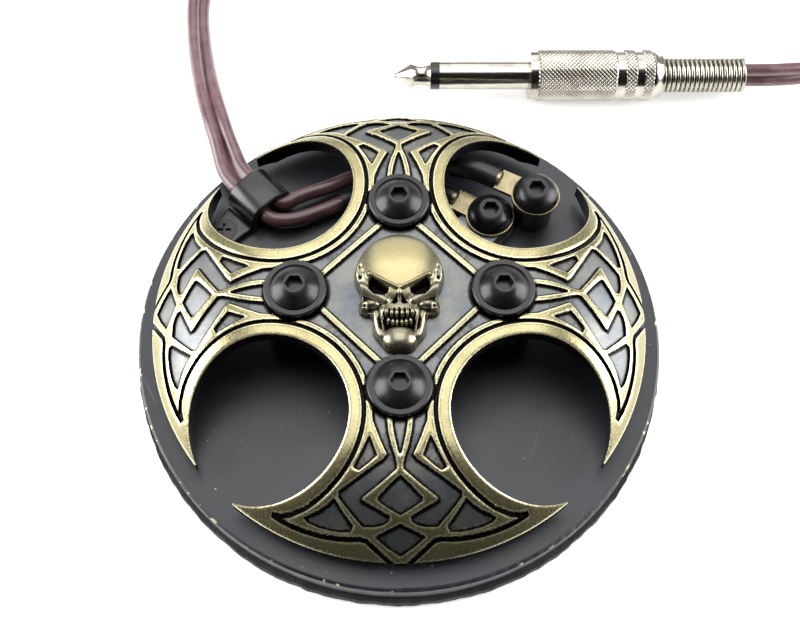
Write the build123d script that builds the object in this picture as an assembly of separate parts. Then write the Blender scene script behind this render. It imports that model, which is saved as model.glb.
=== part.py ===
"""Round foot switch pedal with a two-core lead and a quarter-inch jack plug.

A brass pedal plate with four round cut-outs floats on four springs over a painted steel base.
Pressing or tilting the plate brings its rim down on the base and closes the circuit.

Frame: millimetres, origin at the bottom centre of the rubber mat, +Z up, -Y towards the user.
Each sub-part is written as one STEP file to parts/.
"""
from build123d import *
import math
import os

# ---------------------------------------------------------------- driving dimensions
# mat and base
MAT_R = 53.8
MAT_T = 3.0
BASE_R = 52.5
BASE_T = 6.0
BASE_EDGE = 0.7
BLIND_FLOOR = 1.0            # metal left under a blind tapped hole

# pedal plate: flat in the middle, a circular shoulder falling to the rim
PLATE_R = 48.5
PLATE_T = 3.0
PLATE_GAP = 2.2              # air under the rim at rest
FLAT_R = 26.0
SHOULDER_R = 28.0
FLOAT_HEIGHT = 10.0          # spring space between contact plate and pedal plate
CUTOUT_R = 15.0
CUTOUT_PCD = 67.8
HORN_HALF_GAP = 5.2          # half the mouth left between two horns at the rim

# main screws and what sits round them
SCREW_PCD = 39.0
SCREW_R = 2.5
THREAD_CLEAR = 0.05
FLANGE_R = 5.9
FLANGE_T = 0.9
FLANGE_EDGE = 0.2
HEAD_R = 4.6
HEAD_TOP_R = 2.0
HEAD_H = 1.8
GROOVE_W = 0.25              # groove between head and flange
GROOVE_DEPTH = 0.3
HEX_AF = 3.0
HEX_DEPTH = 1.6
HEAD_LIFT = 0.2              # flange underside above the plate's top
BUSH_R = 3.4
BUSH_FLANGE_R = 5.5
BUSH_FLANGE_T = 0.5
BUSH_TAIL = 0.5              # bushing below the plate
BUSH_BORE_CLEAR = 0.1
BUSH_TOP_GAP = 0.3           # room under the screw's flange
BUSH_SEAT_GAP = 0.45         # room between bushing flange and counterbore
BUSH_SIDE_GAP = 0.4
SEAT_R = 6.25

# springs
SPRING_MEAN_R = 4.6
SPRING_WIRE = 1.0
SPRING_TURNS = 4.5

# contact plate, insulator, terminals
INSULATOR_T = 1.5
CONTACT_T = 2.0
CONTACT_SIDE = 29.0
LOBE_R = 5.8
TAB_W = 9.0
TAB_REACH = 20.0
TAB_ANGLE = 45.0
INSULATOR_EDGE = 0.8
COLLAR_R = 3.4
COLLAR_RISE = 1.0
COLLAR_CLEAR = 0.15
TERMINAL_A = (19.1, 24.0)
TERMINAL_B = (28.3, 26.5)
BUTTON_R = 4.75
BUTTON_H = 2.75
PILLAR_R = 4.1
PILLAR_H = 7.4
LUG_R = 5.0
LUG_T = 0.8
LUG_TONGUE_W = 5.0
LUG_BARREL_AT = 8.0
LUG_BARREL_L = 4.0
LUG_BARREL_WALL = 0.3
LUG_A_ANGLE = 150.0
LUG_B_ANGLE = 152.0
LUG_STRAIGHT = 2.4           # wire left straight beyond the crimp barrel

# wires and shrink sleeves
WIRE_R = 1.5
WIRE_CLEAR = 0.05
SHRINK_WALL = 0.3
SHRINK_CLEAR = 0.1

# cable clip
CLIP_AT = (-29.6, 29.2)
CLIP_ANGLE = 134.0           # the lead leaves the clip this way
CLIP_WIDTH = 8.5
CLIP_T = 1.5
CLIP_INSIDE_W = 7.8
CLIP_INSIDE_H = 5.0
CLIP_FOOT_T = 1.6
CLIP_FOOT_END = 13.4
CLIP_LIMIT_R = 46.0          # the foot stays inside this circle, clear of the plate's rim
CLIP_SCREW_AT = 10.0
CLIP_SCREW_R = 1.5
CLIP_HEAD_R = 2.75
CLIP_HEAD_H = 1.3            # countersunk, flush with the foot
CLIP_HEAD_EDGE = 0.1         # short straight edge at the head's top
CLIP_HEAD_CLEAR = 0.05

# lead
CORD_R = 2.95
CORD_LENGTH = 1500.0
CORD_START = 0.6             # beyond the clip
COIL_AT = (26.0, 155.0)
COIL_INNER_R = 24.0
COIL_OUTER_R = 42.0
COIL_H = 12.0

# jack plug, lengths counted from its tip
PLUG_TIP_AT = (-1.0, 67.0)
TIP_R = 3.0
TIP_NECK_R = 2.15
TIP_L = 8.6
BAND_L = 2.1
SLEEVE_R = 3.175
SLEEVE_L = 21.0
COLLAR_L = 1.4
COLLAR_PLUG_R = 5.5
BARREL_R = 5.8
BARREL_WALL = 1.2
BARREL_L = 29.4
BARREL_END_R = 5.0
RELIEF_R = 4.0
RELIEF_WIRE = 0.9
RELIEF_L = 24.0
RELIEF_INSIDE = 4.0
PLUG_ROD_R = 1.2
PLUG_FIT = 0.05

# emblem
EMBLEM_RX = 8.3
EMBLEM_RY = 8.0
EMBLEM_CY = 3.7
EMBLEM_H = 2.9
JAW_HALF_W = 4.6
JAW_BOTTOM = -12.9

# ---------------------------------------------------------------- heights worked out from these
BASE_TOP = MAT_T + BASE_T
CONTACT_Z = BASE_TOP + INSULATOR_T
CONTACT_TOP = CONTACT_Z + CONTACT_T
PLATE_UNDER = CONTACT_TOP + FLOAT_HEIGHT
PLATE_TOP = PLATE_UNDER + PLATE_T
RIM_UNDER = BASE_TOP + PLATE_GAP
FLANGE_Z = PLATE_TOP + HEAD_LIFT
BUSH_TOP = FLANGE_Z - BUSH_TOP_GAP
SEAT_Z = BUSH_TOP - BUSH_FLANGE_T - BUSH_SEAT_GAP
SHOULDER_Z = PLATE_TOP - SHOULDER_R
SCREW_SPOTS = {
    "right": (SCREW_PCD / 2, 0.0),
    "back": (0.0, SCREW_PCD / 2),
    "left": (-SCREW_PCD / 2, 0.0),
    "front": (0.0, -SCREW_PCD / 2),
}
CUTOUT_SPOTS = [
    (CUTOUT_PCD / 2 * math.cos(math.radians(a)), CUTOUT_PCD / 2 * math.sin(math.radians(a)))
    for a in (45, 135, 225, 315)
]
UP = (Align.CENTER, Align.CENTER, Align.MIN)


# ---------------------------------------------------------------- helpers
def turned(*edges):
    """Solid of revolution about Z from a closed outline of (radius, height) edges."""
    return revolve(Plane.XZ * make_face(edges), axis=Axis.Z)


def rod(radius, z0, z1, at=(0.0, 0.0)):
    """Upright cylinder between two heights."""
    return Pos(at[0], at[1], z0) * Cylinder(radius, z1 - z0, align=UP)


def ring(outer, inner, z0, z1, at=(0.0, 0.0)):
    """Upright tube between two heights."""
    return rod(outer, z0, z1, at) - rod(inner, z0 - 1, z1 + 1, at)


def bend_radii(points):
    """Largest sensible arc at each inner point: 0.45 of the shorter run over tan(half the turn)."""
    spots = [Vector(*p) for p in points]
    radii = []
    for before, here, after in zip(spots, spots[1:], spots[2:]):
        one, two = here - before, after - here
        turn = math.radians(one.get_angle(two))
        radii.append(0.45 * min(one.length, two.length) / math.tan(turn / 2))
    return radii


def route(points, name):
    """Straight runs joined by tangent arcs; prints the arcs' radii."""
    radii = bend_radii(points)
    print(name, "bend radii", [round(r, 1) for r in radii])
    return FilletPolyline(*points, radius=radii)


def swept(section, path):
    """A section swept along a path, square to its start."""
    return sweep(Plane(path @ 0, z_dir=path % 0) * section, path=path)


def coil_spring(mean_r, wire, z0, z1, turns):
    """Round-wire compression spring standing between two heights."""
    height = z1 - z0 - wire
    path = Pos(0, 0, z0 + wire / 2) * Helix(pitch=height / turns, height=height, radius=mean_r)
    section = Plane(path @ 0, z_dir=path % 0) * Circle(wire / 2)
    return sweep(section, path=path, is_frenet=True)


def hex_socket(top, depth, across_flats):
    """Socket to cut from a screw head."""
    corner_r = across_flats / 2 / math.cos(math.radians(30))
    return Pos(0, 0, top - depth) * extrude(RegularPolygon(corner_r, 6), amount=depth + 1)


# ---------------------------------------------------------------- mat and base
def rubber_mat():
    return rod(MAT_R, 0, MAT_T)


def base_plate():
    body = rod(BASE_R, MAT_T, BASE_TOP)
    body = fillet(body.edges().group_by(Axis.Z)[-1], BASE_EDGE)
    floor = MAT_T + BLIND_FLOOR
    for spot in list(SCREW_SPOTS.values()) + [TERMINAL_B]:
        body -= rod(SCREW_R + THREAD_CLEAR, floor, BASE_TOP + 1, spot)
    body -= rod(CLIP_SCREW_R + THREAD_CLEAR, floor, BASE_TOP + 1, clip_screw_spot())
    return body


# ---------------------------------------------------------------- contact plate and insulator
def contact_outline(grow):
    """Square on its corner, a lobe under each spring and a tab out to the terminal screw."""
    side = CONTACT_SIDE + 2 * grow
    shape = Rot(0, 0, 45) * Rectangle(side, side)
    for x, y in SCREW_SPOTS.values():
        shape += Pos(x, y) * Circle(LOBE_R + grow)
    tab = Rectangle(TAB_REACH, TAB_W + 2 * grow, align=(Align.MAX, Align.CENTER))
    shape += Pos(*TERMINAL_A) * Rot(0, 0, TAB_ANGLE) * tab
    shape += Pos(*TERMINAL_A) * Circle(TAB_W / 2 + grow)
    return shape


def contact_insulator():
    sheet = Pos(0, 0, BASE_TOP) * extrude(contact_outline(INSULATOR_EDGE), amount=INSULATOR_T)
    collar_top = CONTACT_TOP + COLLAR_RISE
    for spot in SCREW_SPOTS.values():
        sheet += rod(COLLAR_R, BASE_TOP, collar_top, spot)
    for spot in SCREW_SPOTS.values():
        sheet -= rod(SCREW_R + BUSH_BORE_CLEAR, BASE_TOP - 1, collar_top + 1, spot)
    return sheet


def contact_plate():
    plate = Pos(0, 0, CONTACT_Z) * extrude(contact_outline(0), amount=CONTACT_T)
    for spot in SCREW_SPOTS.values():
        plate -= rod(COLLAR_R + COLLAR_CLEAR, CONTACT_Z - 1, CONTACT_TOP + 1, spot)
    return plate - rod(SCREW_R + THREAD_CLEAR, CONTACT_Z - 1, CONTACT_TOP + 1, TERMINAL_A)


# ---------------------------------------------------------------- pedal plate and emblem
def shoulder_point(radius, angle):
    """Point of the shoulder's section, angle counted from straight up."""
    a = math.radians(angle)
    return (FLAT_R + radius * math.sin(a), SHOULDER_Z + radius * math.cos(a))


def pressure_cross():
    inner = SHOULDER_R - PLATE_T
    top_end = math.degrees(math.asin((PLATE_R - FLAT_R) / SHOULDER_R))
    under_end = math.degrees(math.acos((RIM_UNDER - SHOULDER_Z) / inner))
    edge_top = shoulder_point(SHOULDER_R, top_end)
    edge_under = shoulder_point(inner, under_end)
    plate = turned(
        Line((0, PLATE_TOP), (FLAT_R, PLATE_TOP)),
        ThreePointArc((FLAT_R, PLATE_TOP), shoulder_point(SHOULDER_R, top_end / 2), edge_top),
        Line(edge_top, (PLATE_R, RIM_UNDER)),
        Line((PLATE_R, RIM_UNDER), edge_under),
        ThreePointArc(edge_under, shoulder_point(inner, under_end / 2), (FLAT_R, PLATE_UNDER)),
        Line((FLAT_R, PLATE_UNDER), (0, PLATE_UNDER)),
        Line((0, PLATE_UNDER), (0, PLATE_TOP)),
    )
    for angle, spot in zip((45, 135, 225, 315), CUTOUT_SPOTS):
        plate -= rod(CUTOUT_R, RIM_UNDER - 1, PLATE_TOP + 1, spot)
        mouth = Pos(CUTOUT_PCD / 2, 0, 0) * Box(
            PLATE_R, 2 * HORN_HALF_GAP, 4 * PLATE_TOP, align=(Align.MIN, Align.CENTER, Align.CENTER)
        )
        plate -= Rot(0, 0, angle) * mouth
    for spot in SCREW_SPOTS.values():
        plate -= rod(BUSH_R + BUSH_SIDE_GAP, PLATE_UNDER - 1, PLATE_TOP + 1, spot)
        plate -= rod(SEAT_R, SEAT_Z, PLATE_TOP + 1, spot)
    return plate


def skull_emblem():
    """Plain skull shape: a domed cranium over a narrow jaw, with eye and nose hollows."""
    outline = Pos(0, EMBLEM_CY) * Ellipse(EMBLEM_RX, EMBLEM_RY)
    outline += Polygon(
        (-7.6, 1.0), (-7.0, -4.2), (-JAW_HALF_W, -5.0), (-JAW_HALF_W, -9.4), (-2.6, JAW_BOTTOM),
        (2.6, JAW_BOTTOM), (JAW_HALF_W, -9.4), (JAW_HALF_W, -5.0), (7.0, -4.2), (7.6, 1.0),
        align=None,
    )
    body = Pos(0, 0, PLATE_TOP) * extrude(outline, amount=EMBLEM_H)
    top = PLATE_TOP + EMBLEM_H
    dome_r = 24.0
    body &= Pos(0, 0, top - dome_r) * Sphere(dome_r)
    for side in (-1, 1):
        body -= rod(1.9, top - 1.6, top + 1, (side * 3.9, 0.6))
    nose = Pos(0, 0, top - 1.3) * extrude(
        Polygon((0, -0.6), (-1.4, -3.0), (1.4, -3.0), align=None), amount=2
    )
    return body - nose


# ---------------------------------------------------------------- screws, bushings and springs
def main_screw(spot):
    top = FLANGE_Z + FLANGE_T + HEAD_H
    rim = FLANGE_Z + FLANGE_T
    end = MAT_T + BLIND_FLOOR + 0.5
    groove = rim - GROOVE_DEPTH
    below = (HEAD_R**2 - HEAD_TOP_R**2 - HEAD_H**2) / (2 * HEAD_H)
    ball = math.hypot(HEAD_R, below)
    mid_r = (HEAD_R + HEAD_TOP_R) / 2
    dome_mid = (mid_r, rim - below + math.sqrt(ball**2 - mid_r**2))
    screw = turned(
        Line((0, end), (SCREW_R - 0.5, end)),
        Line((SCREW_R - 0.5, end), (SCREW_R, end + 0.5)),
        Line((SCREW_R, end + 0.5), (SCREW_R, FLANGE_Z)),
        Line((SCREW_R, FLANGE_Z), (FLANGE_R, FLANGE_Z)),
        Line((FLANGE_R, FLANGE_Z), (FLANGE_R, rim - FLANGE_EDGE)),
        Line((FLANGE_R, rim - FLANGE_EDGE), (FLANGE_R - FLANGE_EDGE, rim)),
        Line((FLANGE_R - FLANGE_EDGE, rim), (HEAD_R + GROOVE_W, rim)),
        Line((HEAD_R + GROOVE_W, rim), (HEAD_R + GROOVE_W, groove)),
        Line((HEAD_R + GROOVE_W, groove), (HEAD_R, groove)),
        Line((HEAD_R, groove), (HEAD_R, rim)),
        ThreePointArc((HEAD_R, rim), dome_mid, (HEAD_TOP_R, top)),
        Line((HEAD_TOP_R, top), (0, top)),
        Line((0, top), (0, end)),
    )
    return Pos(spot[0], spot[1], 0) * (screw - hex_socket(top, HEX_DEPTH, HEX_AF))


def insulating_bushing(spot):
    bore = SCREW_R + BUSH_BORE_CLEAR
    flange = ring(BUSH_FLANGE_R, bore, BUSH_TOP - BUSH_FLANGE_T, BUSH_TOP, spot)
    return flange + ring(BUSH_R, bore, PLATE_UNDER - BUSH_TAIL, BUSH_TOP, spot)


def main_spring(spot):
    spring = coil_spring(SPRING_MEAN_R, SPRING_WIRE, CONTACT_TOP, PLATE_UNDER, SPRING_TURNS)
    return Pos(spot[0], spot[1], 0) * spring


# ---------------------------------------------------------------- terminals
def button_screw(spot, seat, end):
    """Plain button-head screw: seat is the underside of its head, end the end of its shank."""
    top = seat + BUTTON_H
    dome_mid = (BUTTON_R * 0.84, seat + BUTTON_H * 0.62)
    screw = turned(
        Line((0, end), (SCREW_R, end)),
        Line((SCREW_R, end), (SCREW_R, seat)),
        Line((SCREW_R, seat), (BUTTON_R, seat)),
        Line((BUTTON_R, seat), (BUTTON_R, seat + 0.3)),
        ThreePointArc((BUTTON_R, seat + 0.3), dome_mid, (BUTTON_R / 2, top)),
        Line((BUTTON_R / 2, top), (0, top)),
        Line((0, top), (0, end)),
    )
    return Pos(spot[0], spot[1], 0) * (screw - hex_socket(top, HEX_DEPTH, HEX_AF))


def ring_lug(spot, z, angle):
    """Brass eyelet with a tongue and a crimp barrel round the wire."""
    bore = WIRE_R + WIRE_CLEAR
    eyelet = rod(LUG_R, 0, LUG_T)
    tongue = Box(
        LUG_BARREL_AT + 0.4, LUG_TONGUE_W, LUG_T, align=(Align.MIN, Align.CENTER, Align.MIN)
    )
    lug = eyelet + tongue - rod(SCREW_R + THREAD_CLEAR, -1, LUG_T + 1)
    start = Plane(origin=(LUG_BARREL_AT, 0, LUG_T / 2), z_dir=(1, 0, 0))
    barrel = start * (Circle(bore + LUG_BARREL_WALL) - Circle(bore))
    lug += extrude(barrel, amount=LUG_BARREL_L)
    return Pos(spot[0], spot[1], z) * Rot(0, 0, angle) * lug


def lug_point(spot, z, angle, along):
    """Point on a crimp barrel's axis, at a distance from the eyelet's centre."""
    a = math.radians(angle)
    return (spot[0] + along * math.cos(a), spot[1] + along * math.sin(a), z + LUG_T / 2)


LUG_A_Z = CONTACT_TOP
LUG_B_Z = BASE_TOP + PILLAR_H


def terminal_pillar():
    return ring(PILLAR_R, SCREW_R + THREAD_CLEAR, BASE_TOP, LUG_B_Z, TERMINAL_B)


# ---------------------------------------------------------------- cable clip
CLIP_U = (math.cos(math.radians(CLIP_ANGLE)), math.sin(math.radians(CLIP_ANGLE)))
CLIP_V = (-CLIP_U[1], CLIP_U[0])


def clip_spot(along, across):
    """Plan position in the clip's own frame: along the lead, and across it towards the foot."""
    return (
        CLIP_AT[0] + along * CLIP_U[0] + across * CLIP_V[0],
        CLIP_AT[1] + along * CLIP_U[1] + across * CLIP_V[1],
    )


def clip_screw_spot():
    return clip_spot(0, CLIP_SCREW_AT)


def cable_clip():
    """Nylon saddle: a strap bent over the lead, with a flat foot on one side."""
    inside = CLIP_INSIDE_W / 2
    outside = inside + CLIP_T
    top = CLIP_INSIDE_H + CLIP_T
    corner = 1.4
    outer = FilletPolyline(
        (-outside, 0), (-outside, top), (outside, top), (outside, CLIP_FOOT_T),
        (CLIP_FOOT_END, CLIP_FOOT_T),
        radius=[corner + CLIP_T, corner + CLIP_T, 0.8],
    )
    inner = FilletPolyline(
        (inside, 0), (inside, CLIP_INSIDE_H), (-inside, CLIP_INSIDE_H), (-inside, 0), radius=corner
    )
    outline = make_face([
        *outer.edges(),
        Line((CLIP_FOOT_END, CLIP_FOOT_T), (CLIP_FOOT_END, 0)),
        Line((CLIP_FOOT_END, 0), (inside, 0)),
        *inner.edges(),
        Line((-inside, 0), (-outside, 0)),
    ])
    plane = Plane(
        origin=(CLIP_AT[0], CLIP_AT[1], BASE_TOP),
        x_dir=(CLIP_V[0], CLIP_V[1], 0),
        z_dir=(CLIP_U[0], CLIP_U[1], 0),
    )
    strap = extrude(plane * outline, amount=CLIP_WIDTH / 2, both=True)
    strap &= rod(CLIP_LIMIT_R, BASE_TOP, BASE_TOP + top)
    return strap - countersunk(CLIP_HEAD_CLEAR, BASE_TOP - 1)


def countersunk(grow, end):
    """Countersunk screw body in the clip's foot, grown all round to cut its seat."""
    top = BASE_TOP + CLIP_FOOT_T
    spot = clip_screw_spot()
    shank = CLIP_SCREW_R + grow
    head = CLIP_HEAD_R + grow
    body = turned(
        Line((0, end), (shank, end)),
        Line((shank, end), (shank, top - CLIP_HEAD_H)),
        Line((shank, top - CLIP_HEAD_H), (head, top - CLIP_HEAD_EDGE)),
        Line((head, top - CLIP_HEAD_EDGE), (head, top)),
        Line((head, top), (0, top)),
        Line((0, top), (0, end)),
    )
    return Pos(spot[0], spot[1], 0) * body


def clip_screw():
    top = BASE_TOP + CLIP_FOOT_T
    screw = countersunk(0, MAT_T + BLIND_FLOOR + 0.5)
    slot = Box(0.6, 3.0, 1.2) + Box(3.0, 0.6, 1.2)
    return screw - Pos(*clip_screw_spot(), top) * slot


# ---------------------------------------------------------------- wires under the plate
CORD_Z = BASE_TOP + CLIP_INSIDE_H - WIRE_R - 0.2
CORD_AT = clip_spot(CLIP_WIDTH / 2 + CORD_START, 0)
WIRE_A_START = clip_spot(CLIP_WIDTH / 2 + CORD_START, WIRE_R)
WIRE_B_START = clip_spot(CLIP_WIDTH / 2 + CORD_START, -WIRE_R)

LUG_REACH = LUG_BARREL_AT + LUG_BARREL_L + LUG_STRAIGHT
WIRE_A_ROUTE = [
    (*WIRE_A_START, CORD_Z),
    (*clip_spot(1.0, WIRE_R), CORD_Z),
    (*clip_spot(-6.0, WIRE_R + 0.5), CORD_Z),
    (-21.8, 23.7, 11.9),
    (-15.4, 26.5, 11.6),
    (-8.8, 29.9, 11.7),
    (-1.2, 32.2, 12.1),
    lug_point(TERMINAL_A, LUG_A_Z, LUG_A_ANGLE, LUG_REACH),
    lug_point(TERMINAL_A, LUG_A_Z, LUG_A_ANGLE, LUG_BARREL_AT + 0.8),
]
WIRE_B_ROUTE = [
    (*WIRE_B_START, CORD_Z),
    (*clip_spot(1.0, -WIRE_R), CORD_Z),
    (*clip_spot(-5.0, -WIRE_R - 0.4), CORD_Z),
    (-20.6, 29.4, 12.6),
    (-15.2, 31.4, 12.5),
    (-9.0, 34.4, 12.6),
    (-0.8, 36.8, 12.9),
    (7.6, 36.2, 13.8),
    lug_point(TERMINAL_B, LUG_B_Z, LUG_B_ANGLE, LUG_REACH),
    lug_point(TERMINAL_B, LUG_B_Z, LUG_B_ANGLE, LUG_BARREL_AT + 0.8),
]
SHRINK_A_FROM = 4            # the sleeve starts half way along this run of the wire
SHRINK_B_FROM = 7


def wire(points, name):
    return swept(Circle(WIRE_R), route(points, name))


def shrink_sleeve(points, first, name):
    """Shrink sleeve along the wire's last runs, up to the end of its crimp barrel."""
    start = (Vector(*points[first]) + Vector(*points[first + 1])) * 0.5
    radii = bend_radii(points)[first:]
    path = FilletPolyline(tuple(start), *points[first + 1:], radius=radii)
    print(name, "length", round(path.length, 1))
    inner = WIRE_R + WIRE_CLEAR + LUG_BARREL_WALL + SHRINK_CLEAR
    return swept(Circle(inner + SHRINK_WALL) - Circle(inner), path)


# ---------------------------------------------------------------- the lead outside the pedal
# from the clip, out between two horns, over the base's edge and down to the floor
LEAD_ROUTE = [
    (*CORD_AT, CORD_Z),
    (*clip_spot(CLIP_WIDTH / 2 + CORD_START + 3.4, 0), CORD_Z),
    (-37.0, 39.8, 13.8),
    (-39.7, 47.5, 14.9),
    (-42.6, 57.2, 12.4),
    (-45.4, 68.0, 8.0),
    (-47.9, 79.8, 4.4),
    (-49.6, 92.8, CORD_R),
    (-47.6, 108.2, CORD_R),
    (-38.8, 120.6, CORD_R),
    (-25.2, 127.6, CORD_R),
    (-10.0, 127.4, CORD_R),
    (4.2, 122.2, CORD_R),
]
PLUG_Z = BARREL_R
PLUG_BACK = PLUG_TIP_AT[0] + TIP_L + BAND_L + SLEEVE_L + COLLAR_L + BARREL_L
TAIL_ROUTE = [
    (PLUG_BACK + 0.5, PLUG_TIP_AT[1], PLUG_Z),
    (PLUG_BACK + 29.0, PLUG_TIP_AT[1], PLUG_Z),
    (105.0, 70.2, 4.0),
    (117.6, 78.6, CORD_R),
    (125.4, 91.8, CORD_R),
    (127.0, 107.6, CORD_R),
    (120.8, 122.6, CORD_R),
    (105.8, 132.9, CORD_R),
    (88.8, 136.6, CORD_R),
    (71.8, 133.6, CORD_R),
    (56.6, 126.8, CORD_R),
    (42.2, 120.6, CORD_R),
]


def cord_tube(points, name):
    path = route(points, name)
    tube = swept(Circle(CORD_R), path)
    share = tube.volume / (math.pi * CORD_R**2 * path.length)
    print(name, "length", round(path.length, 1), "volume over section times length", round(share, 4))
    return tube, path.length


def cord_coil():
    """Outer shape of the coiled part of the lead, lying on the floor."""
    width = COIL_OUTER_R - COIL_INNER_R
    outline = Pos((COIL_INNER_R + COIL_OUTER_R) / 2, COIL_H / 2) * RectangleRounded(
        width, COIL_H, CORD_R
    )
    return Pos(COIL_AT[0], COIL_AT[1], 0) * revolve(Plane.XZ * outline, axis=Axis.Z)


# ---------------------------------------------------------------- jack plug
# built upright with its tip at the origin, then laid down pointing along -X
PLUG_LIE = Pos(PLUG_TIP_AT[0], PLUG_TIP_AT[1], PLUG_Z) * Rot(0, 90, 0)
BAND_AT = TIP_L
SLEEVE_AT = BAND_AT + BAND_L
COLLAR_AT = SLEEVE_AT + SLEEVE_L
BARREL_AT = COLLAR_AT + COLLAR_L
BARREL_END = BARREL_AT + BARREL_L
INNER_R = SLEEVE_R - 0.7
BODY_BACK = BARREL_AT + 6.0


def plug_tip():
    shoulder = TIP_R * 0.96
    rod_end = BODY_BACK + 2.0
    return turned(
        ThreePointArc((0, 0), (0.42, 0.16), (0.62, 0.55)),
        Line((0.62, 0.55), (TIP_R, TIP_L * 0.47)),
        ThreePointArc((TIP_R, TIP_L * 0.47), (TIP_NECK_R, TIP_L * 0.74), (shoulder, TIP_L)),
        Line((shoulder, TIP_L), (PLUG_ROD_R, TIP_L)),
        Line((PLUG_ROD_R, TIP_L), (PLUG_ROD_R, rod_end)),
        Line((PLUG_ROD_R, rod_end), (0, rod_end)),
        Line((0, rod_end), (0, 0)),
    )


def plug_insulator():
    bore = PLUG_ROD_R + PLUG_FIT
    band = ring(SLEEVE_R, bore, BAND_AT, SLEEVE_AT)
    return band + ring(INNER_R - PLUG_FIT, bore, SLEEVE_AT, BODY_BACK + 0.5)


def plug_sleeve():
    body = rod(SLEEVE_R, SLEEVE_AT, COLLAR_AT)
    body += rod(COLLAR_PLUG_R, COLLAR_AT, BARREL_AT)
    body += rod(BARREL_R - BARREL_WALL - PLUG_FIT, BARREL_AT, BODY_BACK)
    return body - rod(INNER_R, SLEEVE_AT - 1, BODY_BACK + 1)


def plug_tip_lug():
    """Solder lug on the end of the plug's rod."""
    z = BODY_BACK + 0.5
    lug = rod(2.2, z, z + 0.5) - rod(PLUG_ROD_R + PLUG_FIT, z - 1, z + 2)
    leg = Pos(0, 2.0, z) * Box(2.0, 0.5, 7.0, align=(Align.CENTER, Align.CENTER, Align.MIN))
    return lug + leg


def plug_barrel():
    """Shell: plain here, with its knurled bands and grooves left to the surface."""
    inner = BARREL_R - BARREL_WALL
    neck = RELIEF_R + 0.2
    return turned(
        Line((inner, BARREL_AT), (BARREL_R, BARREL_AT)),
        Line((BARREL_R, BARREL_AT), (BARREL_R, BARREL_END - 2.2)),
        Line((BARREL_R, BARREL_END - 2.2), (BARREL_END_R, BARREL_END)),
        Line((BARREL_END_R, BARREL_END), (neck, BARREL_END)),
        Line((neck, BARREL_END), (neck, BARREL_END - 1.5)),
        Line((neck, BARREL_END - 1.5), (inner, BARREL_END - 3.5)),
        Line((inner, BARREL_END - 3.5), (inner, BARREL_AT)),
    )


def plug_strain_relief():
    start = BARREL_END - RELIEF_INSIDE
    turns = RELIEF_L / (RELIEF_WIRE * 1.25)
    return coil_spring(RELIEF_R - RELIEF_WIRE / 2, RELIEF_WIRE, start, start + RELIEF_L, turns)


# ---------------------------------------------------------------- the set of sub-parts
def build():
    lead, lead_length = cord_tube(LEAD_ROUTE, "cord_lead")
    tail, tail_length = cord_tube(TAIL_ROUTE, "cord_tail")
    turns = (CORD_LENGTH - lead_length - tail_length) / (math.pi * (COIL_INNER_R + COIL_OUTER_R))
    print("cord_coil turns", round(turns, 2))
    parts = {
        "rubber_mat": rubber_mat(),
        "base_plate": base_plate(),
        "contact_insulator": contact_insulator(),
        "contact_plate": contact_plate(),
        "pressure_cross": pressure_cross(),
        "skull_emblem": skull_emblem(),
    }
    for side, spot in SCREW_SPOTS.items():
        parts["main_screw_" + side] = main_screw(spot)
        parts["insulating_bushing_" + side] = insulating_bushing(spot)
        parts["spring_" + side] = main_spring(spot)
    parts.update({
        "terminal_screw_a": button_screw(TERMINAL_A, LUG_A_Z + LUG_T, CONTACT_Z + 0.2),
        "ring_lug_a": ring_lug(TERMINAL_A, LUG_A_Z, LUG_A_ANGLE),
        "terminal_screw_b": button_screw(TERMINAL_B, LUG_B_Z + LUG_T, MAT_T + BLIND_FLOOR + 0.5),
        "ring_lug_b": ring_lug(TERMINAL_B, LUG_B_Z, LUG_B_ANGLE),
        "terminal_pillar": terminal_pillar(),
        "wire_a": wire(WIRE_A_ROUTE, "wire_a"),
        "wire_b": wire(WIRE_B_ROUTE, "wire_b"),
        "shrink_sleeve_a": shrink_sleeve(WIRE_A_ROUTE, SHRINK_A_FROM, "shrink_sleeve_a"),
        "shrink_sleeve_b": shrink_sleeve(WIRE_B_ROUTE, SHRINK_B_FROM, "shrink_sleeve_b"),
        "cable_clip": cable_clip(),
        "clip_screw": clip_screw(),
        "cord_lead": lead,
        "cord_coil": cord_coil(),
        "cord_tail": tail,
        "plug_tip": PLUG_LIE * plug_tip(),
        "plug_insulator": PLUG_LIE * plug_insulator(),
        "plug_sleeve": PLUG_LIE * plug_sleeve(),
        "plug_tip_lug": PLUG_LIE * plug_tip_lug(),
        "plug_barrel": PLUG_LIE * plug_barrel(),
        "plug_strain_relief": PLUG_LIE * plug_strain_relief(),
    })
    return parts


def main():
    os.makedirs("parts", exist_ok=True)
    for name, solid in build().items():
        export_step(solid, os.path.join("parts", name + ".step"))
        print(name, "volume", round(solid.volume, 1))


if __name__ == "__main__":
    main()
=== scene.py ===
"""Looks of a round foot switch pedal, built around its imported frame.

The cast brass cross, its skull boss, the lead, the plug's knurled shell, the springs, the clip and
the rubber mat are modelled here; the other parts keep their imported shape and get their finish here.
Sizes in the classes are millimetres and angles degrees; meshes are in metres, in the frame of the part.
"""

import logging
import math
import random
from dataclasses import dataclass, field
from enum import Enum
from typing import Any, Optional, Sequence, Union

import bpy
import numpy as np
from mathutils import Matrix, Quaternion, Vector
from mathutils.geometry import delaunay_2d_cdt


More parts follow.
